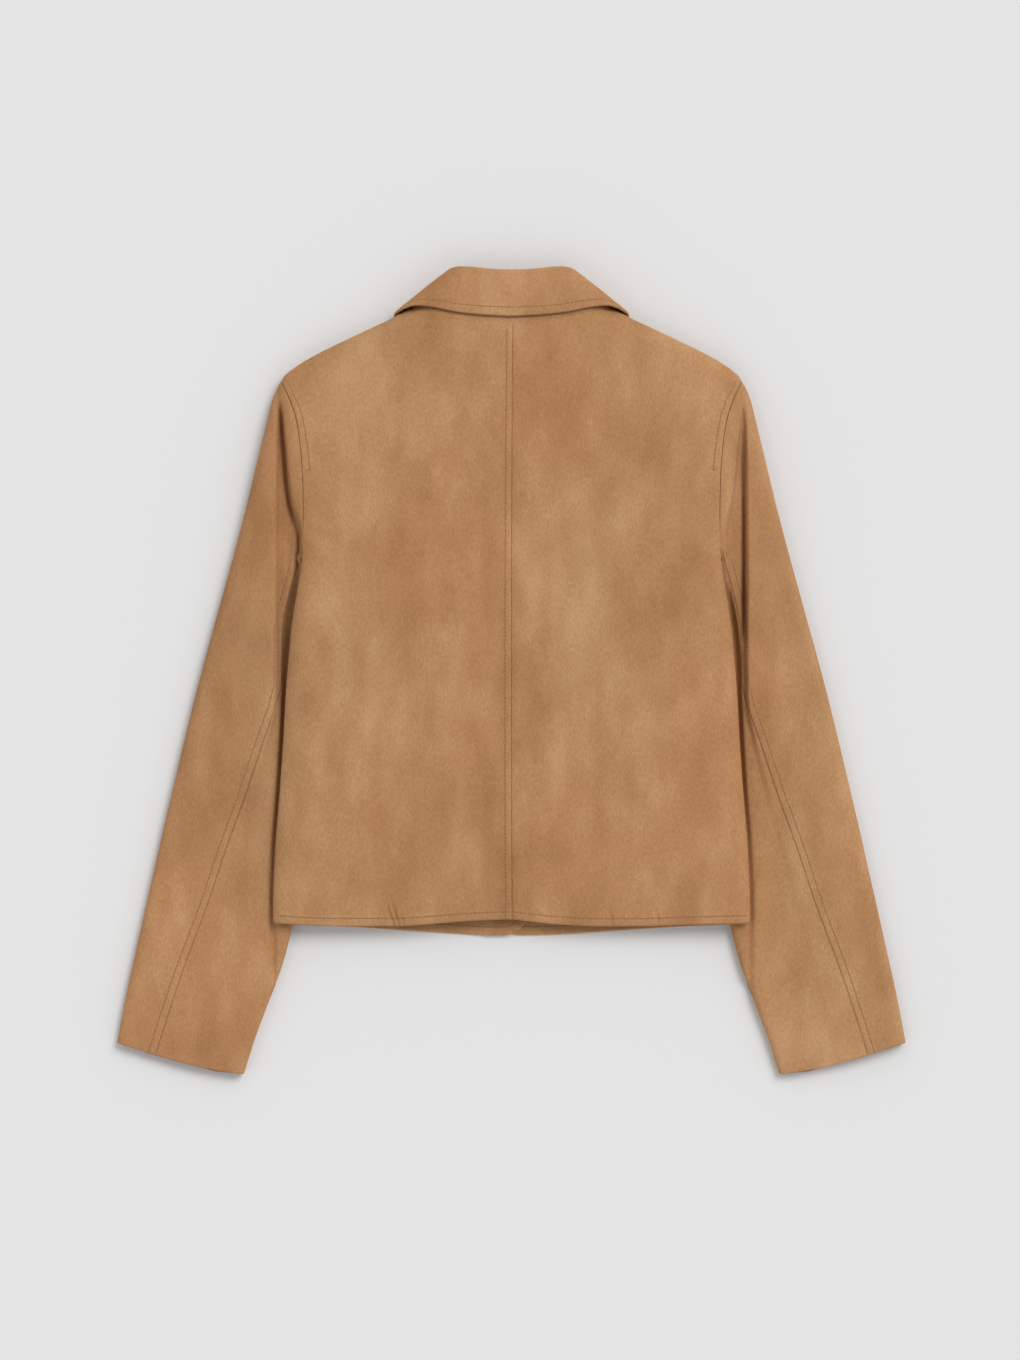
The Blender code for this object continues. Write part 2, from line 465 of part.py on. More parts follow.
class Sheet:
    """A piece of suede: a grid of points on its outer face, and the direction out of it at each point."""

    def __init__(self, name, grid, thickness, seams):
        self.name, self.thickness, self.seams = name, thickness, seams
        self.points, self.normals = grid
        winding = np.cross(np.gradient(self.points, axis=0), np.gradient(self.points, axis=1))
        self.flip = np.sum(winding * self.normals) < 0

    def border(self):
        rows, columns = self.points.shape[:2]
        mask = np.zeros((rows, columns), bool)
        mask[0] = mask[-1] = mask[:, 0] = mask[:, -1] = True
        return np.argwhere(mask)

    def wall(self):
        """Outer and inner grids, with each seam edge drawn back by its share of the seam's gap."""
        outer = self.points.copy()
        inner = outer - self.thickness * self.normals
        for seam, gap in self.seams.items():
            for grid in (outer, inner):
                if seam == "along_columns":
                    grid[0] += gap * unit(grid[1] - grid[0])
                    continue
                edge, beside = {"first_row": (grid[0], grid[1]), "last_row": (grid[-1], grid[-2]),
                                "first_column": (grid[:, 0], grid[:, 1]),
                                "last_column": (grid[:, -1], grid[:, -2])}[seam]
                tangent = np.gradient(edge, axis=0)
                tangent /= np.linalg.norm(tangent, axis=1, keepdims=True) + 1e-12
                into = beside - edge
                into = into - np.sum(into * tangent, axis=1, keepdims=True) * tangent
                into /= np.linalg.norm(into, axis=1, keepdims=True) + 1e-12
                edge += into * gap
        return outer, inner


def take_directions(sheet, owners, places):
    """The sheet's directions at the given places become those of the owners' borders, weighted by nearness."""
    points = np.concatenate([owner.points[tuple(owner.border().T)] for owner in owners])
    normals = np.concatenate([owner.normals[tuple(owner.border().T)] for owner in owners])
    for index in places:
        distance = np.linalg.norm(points - sheet.points[index], axis=1) + 0.001 * MM
        nearest = np.argsort(distance)[:2]
        mean = np.sum(normals[nearest] / distance[nearest, None] ** 2, axis=0)
        sheet.normals[index] = mean / np.linalg.norm(mean)


def share_directions(sheets):
    """Where the borders of sheets meet, each takes the mean of their directions."""
    owners = [(sheet, tuple(index)) for sheet in sheets for index in sheet.border()]
    points = np.array([sheet.points[index] for sheet, index in owners])
    normals = np.array([sheet.normals[index] for sheet, index in owners])
    met = np.linalg.norm(points[:, None] - points[None, :], axis=2) < SAME_PLACE
    for (sheet, index), others in zip(owners, met):
        sheet.normals[index] = unit(normals[others].sum(axis=0))


def grid_faces(outer, flip):
    """Faces of the closed wall over two grids of points, outer ones first. Each face of the rim starts at its
    outer point with the smaller y, so that both rims of a seam are split along the same diagonals."""
    rows, columns = outer.shape[:2]
    index = np.arange(rows * columns).reshape(rows, columns)
    quads = np.stack([index[:-1, :-1], index[1:, :-1], index[1:, 1:], index[:-1, 1:]], -1).reshape(-1, 4)
    ring = np.concatenate([index[0, :-1], index[:-1, -1], index[-1, :0:-1], index[:0:-1, 0]])
    after = np.roll(ring, -1)
    inner = quads[:, ::-1] + rows * columns
    below = rows * columns
    y = outer[..., 1].ravel()
    rim = np.where((y[ring] <= y[after])[:, None],
                   np.stack([ring, after, after + below, ring + below], -1),
                   np.stack([after, after + below, ring + below, ring], -1))
    faces = np.concatenate([quads, inner])
    if flip:
        return np.concatenate([faces[:, ::-1], rim[:, [0, 3, 2, 1]]])
    return np.concatenate([faces, rim])


def suede_material(name):
    material = bpy.data.materials.new(name)
    material.use_nodes = True
    shader = material.node_tree.nodes["Principled BSDF"]
    shader.inputs["Base Color"].default_value = SUEDE_COLOUR
    shader.inputs["Roughness"].default_value = SUEDE_ROUGHNESS
    shader.inputs["Metallic"].default_value = 0.0
    material.diffuse_color = SUEDE_COLOUR
    return material


def add_piece(sheet, collection):
    outer, inner = sheet.wall()
    points = np.concatenate([outer.reshape(-1, 3), inner.reshape(-1, 3)])
    mesh = bpy.data.meshes.new(sheet.name)
    mesh.from_pydata(points.tolist(), [], grid_faces(outer, sheet.flip).tolist())
    mesh.update()
    mesh.shade_smooth()
    mesh.set_sharp_from_angle(angle=0.7)
    piece = bpy.data.objects.new(sheet.name, mesh)
    collection.objects.link(piece)
    mesh.materials.append(suede_material(sheet.name + "_suede"))
    return piece


def jacket():
    half = SEAM_GAP / 2
    sheets, backs, fronts = [], {}, {}
    for side, word in ((-1, "left"), (1, "right")):
        backs[side] = Sheet("back_" + word, back_grid(side), SUEDE,
                            dict(first_column=half, last_column=half, last_row=half))
        fronts[side] = Sheet("front_" + word, front_grid(side), SUEDE,
                             dict(last_column=half, last_row=half))
        top = Sheet(f"sleeve_{word}_top", top_sleeve_grid(side), SUEDE,
                    dict(first_row=CORNER_GAP, first_column=half, last_column=half))
        under = Sheet(f"sleeve_{word}_under", under_sleeve_grid(side), SUEDE,
                      dict(along_columns=CORNER_GAP, first_column=half, last_column=half))
        share_directions([backs[side], fronts[side], top, under])
        body = [backs[side], fronts[side]]
        take_directions(top, body, [(0, k) for k in range(top.points.shape[1])])
        take_directions(under, body, [(0, k) for k in range(under.points.shape[1])])
        to_seam = (under.points[0, :, 1:2] - UNDERARM_Y) / (ELBOW_SEAM_Y - UNDERARM_Y)
        corner_out = np.array(UNDERARM_OUT) * (side, 1, 1)
        under.normals[0] = unit(to_seam * under.normals[0] + (1 - to_seam) * corner_out)
        sheets += [backs[side], fronts[side], top, under]
    return sheets + collar(backs, fronts)


def main():
    for old in list(bpy.data.objects):
        bpy.data.objects.remove(old)
    collection = bpy.data.collections.new("suede_jacket")
    bpy.context.scene.collection.children.link(collection)
    for sheet in jacket():
        add_piece(sheet, collection)


main()
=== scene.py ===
import bpy
import numpy as np
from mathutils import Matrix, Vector


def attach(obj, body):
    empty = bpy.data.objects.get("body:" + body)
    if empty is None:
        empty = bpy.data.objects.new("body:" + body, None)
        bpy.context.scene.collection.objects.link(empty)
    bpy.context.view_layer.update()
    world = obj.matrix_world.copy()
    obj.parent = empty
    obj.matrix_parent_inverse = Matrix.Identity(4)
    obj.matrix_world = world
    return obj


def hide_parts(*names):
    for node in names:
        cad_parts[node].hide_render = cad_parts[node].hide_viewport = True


# A short suede jacket that lies on its front with the back up. Metres, +Y towards the collar, +X towards the
# wearer's right; the floor is z = 0. Tables are in millimetres. Each half is worked out with x pointing away
# from the centre, and side (-1 left, 1 right) puts it in its place.

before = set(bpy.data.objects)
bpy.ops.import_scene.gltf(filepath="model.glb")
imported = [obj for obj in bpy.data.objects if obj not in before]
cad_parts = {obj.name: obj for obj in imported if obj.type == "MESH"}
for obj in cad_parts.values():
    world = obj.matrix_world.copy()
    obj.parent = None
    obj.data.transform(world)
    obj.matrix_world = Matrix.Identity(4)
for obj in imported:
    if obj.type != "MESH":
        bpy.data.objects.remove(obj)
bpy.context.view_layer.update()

mm = 0.001
suedeThick = 1.5 * mm
seamGap = 0.3 * mm
tipX, tipY = 207.5 * mm, 260.3 * mm      # shoulder tip
neckX = 90 * mm                          # where the neckline meets the shoulder fold
underarmY = 100 * mm
elbowSeamY = 108 * mm                    # the elbow and forearm seams leave the armhole here
hemY = -228 * mm                         # the side folds end here
frontLap = 17 * mm                       # how far each front reaches past the centre
frontUpper = {-1: 1.0, 1: 0.0}           # the left front lies over the right one
frontCorner = 25 * mm                    # radius of the lower corner of a front
hemCorner = 3 * mm                       # and of the side corners of the hems
sideInset = 0.06 * mm                    # the cloth of a body piece ends this far inside its side fold
sideRoll, shoulderRoll = 12 * mm, 14 * mm    # how far in from its side and shoulder folds the body turns
outerRoll, innerRoll = 9 * mm, 7 * mm    # and a sleeve from its outer and inner folds
seamRise = 16 * mm                       # the underside of a sleeve comes up to its seams over this width
elbowRow, cuffRow = 12, 29               # rows of a sleeve, see sleeveRows


# A table of named columns in millimetres. It is read by calling it: read(name, at) = that column, in metres,
# over the first one, as a curve through the rows that never overshoots them (cubic, harmonic mean slopes).
def table(names, rows):
    columns = dict(zip(names.split(), np.array(rows, float).T * mm))
    xs = next(iter(columns.values()))
    step = np.diff(xs)

    def read(name, at):
        ys = columns[name]
        slope = np.diff(ys) / step
        product = slope[:-1] * slope[1:]
        total = slope[:-1] + slope[1:]
        inner = np.where(product > 0, 2 * product / np.where(product > 0, total, 1), 0)
        tangent = np.concatenate([slope[:1], inner, slope[-1:]])
        at = np.clip(np.asarray(at, float), xs[0], xs[-1])
        k = np.clip(np.searchsorted(xs, at, side="right") - 1, 0, len(step) - 1)
        u = (at - xs[k]) / step[k]
        return (ys[k] * (1 + 2 * u) * (1 - u) ** 2 + tangent[k] * step[k] * u * (1 - u) ** 2
                + ys[k + 1] * u * u * (3 - 2 * u) + tangent[k + 1] * step[k] * u * u * (u - 1))

    return read


sideTable = table("y halfWidth", [
    (-228, 214.8), (-205, 214.6), (-172, 213.3), (-147, 211.8), (-117, 209.2), (-59, 205.2), (-22, 203.2),
    (10, 200.7), (39, 198.0), (64, 194.2), (89, 190.2), (100, 188.8), (117, 187.9), (142, 187.3),
    (170, 187.8), (190, 189.0), (210.6, 191.3), (227, 194.2), (242, 199.2), (252, 203.8), (257, 206.2),
    (260.3, 207.5)])
topTable = table("x back", [
    (0, 312.3), (22, 314.4), (44, 317.2), (62, 320.6), (75, 323.4), (84, 324.8), (90, 325), (100, 320.8),
    (112, 314.6), (125, 308.6), (140, 301.5), (159, 292.5), (177, 283.5), (192, 274.7), (204, 265.5),
    (207.5, 260.3)])
frontNeck = table("x y", [
    (-17, 238.6), (4, 239.5), (28, 244.5), (50, 258), (68, 277), (80, 294), (87, 308), (90, 325)])
backHem = table("x y", [
    (-214.8, -228), (-159, -230.7), (-105, -230.7), (-62, -228), (-32, -225.8), (0, -224.8), (14, -226.4),
    (52, -229.9), (82, -231), (121, -230.7), (160, -229.5), (214.8, -228)])
frontHem = table("x y", [
    (-214.8, -228), (-160, -231), (-136, -232.2), (-92, -235.2), (-60, -237), (-17, -239), (17, -239),
    (36, -238.6), (67, -236.9), (114, -233.7), (145, -231.8), (214.8, -228)])
bodyHeights = table("y crown fall side roll overSleeve", [
    (-239, 15, -6, 16.7, 1000, 12.5), (-200, 21, -3, 17.5, 1000, 12.5), (-150, 27, 1, 18.5, 1000, 12.5),
    (-100, 31, 3, 19.5, 1000, 12.5), (0, 34, 6, 20, 1000, 12.5), (20, 34, 6, 20, 1000, 12.7),
    (40, 34, 6.3, 20, 1000, 13.4), (60, 34, 6.6, 20, 1000, 14.8), (80, 34, 7, 20, 1000, 16.8),
    (92, 34, 7, 20, 1000, 18), (100, 34, 7, 20, 1000, 18), (108, 34, 7.2, 20, 550, 13.5),
    (122, 34, 7.5, 20, 300, 9), (141, 33.6, 8, 20, 120, 5), (164, 33, 8.5, 20, 30, 2),
    (186, 32.4, 9, 20, 0, 0.6), (206, 31.5, 10, 20, 0, 0), (260, 28, 12, 20, 0, 0), (326, 25, 12, 20, 0, 0)])
shoulderFold = table("x foldZ", [
    (0, 12), (150, 12), (207.5, 9.5)])
sleeveTable = table("y outer foldZ strip valley crest face ridge", [
    (-364, 361.4, 5.5, 0, 11, 11.3, 11.2, 300), (-336, 355.4, 5.5, 0, 11.2, 11.5, 11.4, 292),
    (-297, 347.9, 6, 0, 11.5, 12, 11.8, 282), (-231, 333.3, 6.3, 0, 12, 12.6, 12.4, 265),
    (-117, 307.4, 6.5, 0, 12, 13.2, 13, 234), (-70, 296.2, 6.5, 0, 12, 14.8, 13.4, 222),
    (-30, 286.5, 6.7, 0, 11.8, 17.5, 13.8, 214), (10, 276, 7, 0, 11.4, 20, 14, 212.8),
    (60, 262.2, 7, 0, 11.6, 21, 14.4, 212.6), (95, 252.6, 7, 0, 13.2, 21, 14.5, 212.5),
    (118, 246.4, 7, 0.5, 13.8, 21, 14.5, 212.4), (128, 243.8, 7, 2, 13.6, 21, 14.5, 212.4),
    (153, 237.4, 7, 9.5, 13, 21, 14.5, 212.4), (183, 230.2, 7.2, 12, 12, 20.6, 14.5, 212.3),
    (207, 224.4, 7.5, 12, 12.2, 19.4, 14.3, 212.2), (225, 220, 7.8, 10.5, 12, 17.8, 14, 211.8),
    (243, 215.4, 8.3, 7, 10.9, 14.6, 13.2, 211), (253, 211.4, 9, 3, 9.8, 11.6, 11.5, 209.6),
    (260.3, 207.5, 9.5, 1, 9.5, 9.8, 9.8, 208.6)])
tuckTable = table("y inner foldZ top", [
    (-364.5, 241.4, 5.5, 11), (-334, 231.8, 5.6, 11.2), (-299, 218.8, 5.8, 11.5), (-265, 206.2, 6, 11.8),
    (-229, 196.7, 6.2, 12), (-190, 186.5, 6.2, 12), (-140, 175, 6.2, 12), (-90, 165.5, 6.2, 12),
    (-40, 160.5, 6.2, 12), (0, 161, 6.2, 12), (20, 163, 6.2, 12.1), (42, 167.5, 6.5, 12.6),
    (62, 172, 7.2, 13.8), (77, 178, 8.6, 15.8), (87, 183, 11, 17.2), (93, 186, 14, 18.4),
    (97, 187.6, 17, 19.4), (100, 188.8, 20, 20)])
elbowSeam = table("y x", [
    (-348, 321.4), (-304, 307.4), (-267, 294.8), (-207, 272.5), (-163, 257.9), (-109, 238.4), (-65, 223.7),
    (-45, 216.5), (-26, 210.2), (-9, 206.9), (16, 206.7), (36, 206.3), (52, 203.8), (67, 200.3),
    (78, 197.3), (87, 194.8), (95, 192.6), (102, 190.5), (108, 188.3)])
forearmSeam = table("y x", [
    (-362, 268), (-334, 258), (-299, 246), (-265, 234.2), (-229, 224.7), (-190, 214.5), (-140, 203),
    (-90, 193.5), (-40, 188.5), (-6, 189), (20, 193), (46, 200), (66, 203), (79, 202), (88, 199),
    (96, 195.2), (102, 191.4), (108, 187.1)])
collarTable = table("row crestX crestY crestZ edgeX edgeY edgeZ half lean", [
    (0, 0, 360.5, 17, 0, 317.8, 30.6, 5, 0), (1, 13.5, 360.9, 17, 25, 319.1, 30.5, 5, 0),
    (2, 27, 362, 16.6, 50, 321.8, 30, 4.9, 0), (3, 38, 363.2, 16, 70, 325.8, 29, 4.7, 0),
    (4, 46, 363.4, 15.3, 86, 327.6, 26.8, 4.4, 8), (5, 51, 362, 14.5, 98, 325.4, 21.5, 3.9, 30),
    (5.6, 52.9, 360, 12.8, 102.5, 323.4, 16, 3.4, 60), (6, 53.6, 358.4, 9.5, 105, 321.8, 11.5, 3.1, 88),
    (6.3, 54, 357.2, 6.5, 106.6, 319.3, 4.5, 2.9, 115), (6.6, 54.6, 355, 4.2, 107, 314, 0.3, 2.6, 145),
    (7, 55.6, 347, 2.7, 104.6, 304, 0, 2.3, 170), (8, 54, 326, 1.95, 98, 284, 0, 1.95, 180),
    (9, 45, 306, 1.95, 89, 262, 0, 1.95, 180), (10, 33, 287, 1.95, 79, 241, 0, 1.95, 180),
    (11, 18, 271, 1.95, 70, 225, 0, 1.95, 180), (12, 5, 264, 1.95, 60, 212, 0, 1.95, 180)])
# The rows of a sleeve, from the shoulder tip to the cuff: y where each row leaves the back seam, turns over the
# outer fold and ends at the front seam; inner is the row of the under sleeve on its own fold.
sleeveRows = table("row back outer front inner", [
    (0, 260.2, 260.28, 260.2, 0), (1, 259, 259.9, 259, 0), (2, 257, 259, 257, 0), (3, 255, 258, 255, 0),
    (4, 252, 256.5, 252, 0), (5, 240, 249.5, 240, 0), (6, 224, 238.5, 224, 0), (7, 206, 223.5, 206, 0),
    (8, 186, 206, 186, 0), (9, 164, 186, 164, 0), (10, 141, 165.5, 141, 0), (11, 122, 149, 122, 0),
    (12, 108, 137, 108, 100), (13, 102, 129, 102, 95.5), (14, 95, 120, 96, 90), (15, 87, 110, 88, 84),
    (16, 78, 99, 79, 76), (17, 67, 87, 66, 64), (18, 50, 72, 46, 44), (19, 28, 51, 20, 18),
    (20, 4, 27, -6, -8), (21, -22, 0, -34, -36), (22, -52, -31, -65, -67), (23, -86, -66, -100, -102),
    (24, -124, -105, -138, -140), (25, -164, -146, -179, -181), (26, -206, -190, -221, -223),
    (27, -250, -235, -265, -267), (28, -298, -285, -313, -315), (29, -347, -336, -362, -364.5)])
neckRowsBack = (np.arange(7), np.array([0, 22, 44, 62, 75, 84, 90]) * mm)       # collar row, x on the back neck
neckRowsFront = (np.arange(6, 13), np.array([90, 87, 80, 68, 50, 28, 4]) * mm)  # and on the front neck


# ease(v) = v^2 (3 - 2v), held at 0 below 0 and at 1 above 1
def ease(value):
    value = np.clip(value, 0, 1)
    return value * value * (3 - 2 * value)


# bell(d, w) = exp(-(d / w)^2)
def bell(distance, width):
    return np.exp(-(distance / width) ** 2)


# roundOff(d, r) = sqrt(1 - (1 - d / r)^2): 0 on a fold line, 1 past its radius
def roundOff(distance, radius):
    along = 1 - np.clip(distance / radius, 0, 1)
    return np.sqrt(1 - along * along)


# turnDown = 1 on a fold and 0 past its reach: a parabola for a shallow drop, a quarter ellipse for a deep one
def turnDown(distance, reach, drop):
    along = 1 - np.clip(distance / reach, 0, 1)
    ellipse = ease((np.abs(drop) / reach - 0.3) / 0.25)
    return along ** 2 + ellipse * (1 - np.sqrt(1 - along ** 2) - along ** 2)


# v / |v|
def unit(vectors):
    return vectors / (np.linalg.norm(vectors, axis=-1, keepdims=True) + 1e-12)


# softWaves(x, y) = amount * sum of nine slanted sines 55 to 210 mm long, each as high as it is long; the plan
# is first pushed about by two slower sines, so that no wave runs straight
def softWaves(x, y, seed, amount):
    dice = np.random.default_rng(seed)
    x, y = x + 0.02 * np.sin(y / 0.07 + seed), y + 0.02 * np.sin(x / 0.055 + 2 * seed)
    total = 0.0
    for _ in range(9):
        length, angle, start = dice.uniform(0.055, 0.21), dice.uniform(0, np.pi), dice.uniform(0, 6.28)
        along = x * np.cos(angle) + y * np.sin(angle)
        total = total + length / 0.21 * np.sin(6.283 * along / length + start)
    return amount * total / 2.5


# creaseField(x, y) = sum over the rows of -depth * bell(d) + 0.45 * depth * bell(d - 1.7 width), where d is the
# distance from a line from (x0, y0) to (x1, y1) that is bowed by bend; each fades out at both of its ends
def creaseField(x, y, rows):
    total = 0.0
    for x0, y0, x1, y1, width, depth, bend in np.array(rows, float) * mm:
        length = np.hypot(x1 - x0, y1 - y0)
        ux, uy = (x1 - x0) / length, (y1 - y0) / length
        along = ((x - x0) * ux + (y - y0) * uy) / length
        across = (y - y0) * ux - (x - x0) * uy - bend * np.sin(np.pi * np.clip(along, 0, 1))
        fade = ease(along / 0.35) * ease((1 - along) / 0.35)
        total = total + depth * fade * (0.45 * bell(across - 1.7 * width, width) - bell(across, width))
    return total


# stitchedBand(d) = height * (1 while d < line, then eased down) * eased up from the seam, with a groove on the
# line
def stitchedBand(distance, line, height, groove=0.35 * mm):
    band = height * ease(distance / (1.4 * mm)) * (1 - ease((distance - line) / (3 * mm)))
    return band - groove * bell(distance - line, 0.8 * mm)


bodyLook = {
    "waves": 0.9,            # height of the soft unevenness of the back, mm
    "centreLine": 5.6,       # topstitch beside the centre back seam, mm from it
    "hemLine": 7.2,          # topstitch above the hems
    "hemThick": 2.6,         # thickness of the turned hem
    "hemDeep": 22,           # and how far up it goes
    "cornerLift": 2.2,       # how far the free lower corner of the left front stands up
    "creases": [             # x0 y0 x1 y1 width depth bend, in mm, over the whole back
        (182, 132, 150, 92, 7, 0.9, 3), (150, 96, 128, 70, 9, 0.6, -3),
        (-196, 128, -150, 110, 5, 0.9, 2), (-192, 112, -158, 84, 6, 0.7, -3),
        (194, 122, 168, 108, 4, 0.7, 2), (-110, 205, -84, 120, 12, 0.6, 5),
        (92, 250, 60, 150, 14, 0.6, -6), (-30, 180, -44, 60, 12, 0.4, 4), (40, 90, 70, 10, 13, 0.5, 5),
        (-190, -60, -150, -150, 12, 0.6, 5), (178, -40, 196, -160, 12, 0.6, -5),
        (-60, -150, -40, -215, 9, 0.5, 2), (120, -170, 140, -222, 8, 0.5, 2),
        (-77, 192, -75, 134, 2.4, 0.35, 1), (-21, 222, -17, 198, 2.4, 0.3, 0.5),
        (51, -88, 47, -148, 2.6, 0.3, 1), (169, -36, 186, -96, 4, 0.4, -2),
        (-115, -203, -99, -252, 1.6, 1.7, 0), (-110, -203, -94, -252, 1.5, 1.7, 0),
        (-102, -212, -92, -250, 1.4, 1.3, 0), (87, -205, 94, -250, 1.6, 1.2, 0),
        (128, -204, 136, -250, 1.7, 1.3, 0)],
    "puckersAt": 104,        # the hem puckers near here, so the columns of the grid crowd together
}


# x of the side fold, and of the armhole seam above the underarm
def halfWidth(y):
    return sideTable("halfWidth", y)


# the front armhole is scooped 8 mm deeper than the back one: halfWidth(y) - 8 sin(pi share)
def frontHalfWidth(y):
    return halfWidth(y) - 8 * mm * np.sin(np.pi * np.clip((y - underarmY) / (tipY - underarmY), 0, 1))


# the shoulder fold, carried on in a straight line over the neck hole
def shoulderLine(x):
    return topTable("back", np.maximum(x, neckX)) + 0.45 * np.clip(neckX - x, 0, None)


# where the centre back seam runs, measured to the wearer's right
def centreSeam(y):
    return np.interp(y, np.array([-228, -120, 60, 200, 320]) * mm, np.array([0.4, -0.3, -0.3, 0.4, 1.7]) * mm)


# the rounding of the side corners of the hems: r (1 - sqrt(1 - (1 - d / r)^2)), d from the side fold
def sideCorner(x):
    along = 1 - np.clip((halfWidth(hemY) - x) / hemCorner, 0, 1)
    return hemCorner * (1 - np.sqrt(1 - along ** 2))


# z = crown - fall (x / halfWidth)^2, then down to the side fold and down to the shoulder fold
def backPlain(x, y):
    crown = bodyHeights("crown", y) - bodyHeights("fall", y) * (x / halfWidth(y)) ** 2
    drop = bodyHeights("roll", y) * (crown - bodyHeights("side", y))
    crown = crown - drop * turnDown(halfWidth(y) - x, sideRoll, drop)
    drop = crown - shoulderFold("foldZ", x)
    return crown - drop * turnDown(shoulderLine(x) - y, shoulderRoll, drop)


# distance of the armhole topstitch from the armhole seam
def armholeLine(y):
    return np.interp(y, np.array([182, 206, 240, 262]) * mm, np.array([6.8, 6.4, 6.2, 5.6]) * mm)


# what lies on the plain shape of the back: waves and creases, fading out at the folds, the lapped centre seam,
# the band under the armhole topstitch and the turned hem with its small puckers
def backDetail(x, y, side):
    inside = halfWidth(y) - x
    below = shoulderLine(x) - y
    hem = y - backHem("y", side * x)
    calm = ease(inside / (22 * mm)) * ease((below - 3 * mm) / (26 * mm)) * (0.35 + 0.65 * ease(hem / (30 * mm)))
    z = calm * softWaves(side * x, y, 5, bodyLook["waves"] * mm)
    z = z + ease(inside / (6 * mm)) * ease(below / (12 * mm)) * creaseField(side * x, y, bodyLook["creases"])
    seam = x - side * centreSeam(y)
    if side < 0:
        z = z + 0.5 * mm * (1 - ease((seam - 4 * mm) / (5 * mm)))
        z = z + stitchedBand(seam, bodyLook["centreLine"] * mm, 0.35 * mm)
    else:
        z = z - 0.45 * mm * bell(seam, 2.6 * mm)
    line = armholeLine(y)
    fade = ease((y - 176 * mm) / (8 * mm)) * ease((below - 1 * mm) / (4 * mm))
    z = z + fade * stitchedBand(inside, line, 0.45 * mm)
    line = bodyLook["hemLine"] * mm
    pucker = np.sin(x / (1.7 * mm) + 3 * np.sin(x / (23 * mm))) * np.sin(x / (17 * mm) + side)
    z = z + stitchedBand(hem, line, 0.5 * mm) + 0.13 * mm * pucker * bell(hem - line, 5 * mm)
    return z


# z of the back = its plain shape + what lies on it
def backHeight(x, y, side):
    return backPlain(x, y) + backDetail(x, y, side)


# x of the inner fold of the sleeve that a front lies on
def tuckedFold(y):
    return np.minimum(tuckTable("inner", y), frontHalfWidth(y) - 4 * mm)


# z = what the front lies on: the floor, the collar, the other front or the sleeve, then up to the two folds
def frontPlain(x, y, side):
    flat = 2.6 * mm * ease((y - 150 * mm) / (56 * mm))
    flat = flat + frontUpper[side] * (suedeThick + 2 * seamGap) * ease((34 * mm - x) / (15 * mm))
    sleeve = ease((x - (tuckedFold(y) - 42 * mm)) / (34 * mm))
    flat = flat + bodyHeights("overSleeve", y) * sleeve
    side = bodyHeights("side", y)
    roll = bodyHeights("roll", y)
    rise = roll * (side - flat)
    flat = flat + rise * turnDown(frontHalfWidth(y) - x, sideRoll, rise)
    rise = shoulderFold("foldZ", x) - flat
    return flat + rise * turnDown(shoulderLine(x) - y, shoulderRoll, rise)


# the fronts rest on the floor, so their soft waves only lift them, away from the lap, the sleeve and the neck;
# the lower corner of the left one, which lies over the right one, stands up a little
def frontHeight(x, y, side):
    free = ease((tuckedFold(y) - 46 * mm - x) / (30 * mm))
    free = free * ease((140 * mm - y) / (40 * mm)) * ease((x - 36 * mm) / (25 * mm))
    waves = np.clip(softWaves(side * x, y, 11, 1.2 * mm), 0, None)
    z = frontPlain(x, y, side) + free * waves
    if side < 0:
        z = z + bodyLook["cornerLift"] * mm * ease((8 * mm - x) / (24 * mm)) * ease((-196 * mm - y) / (30 * mm))
    return z


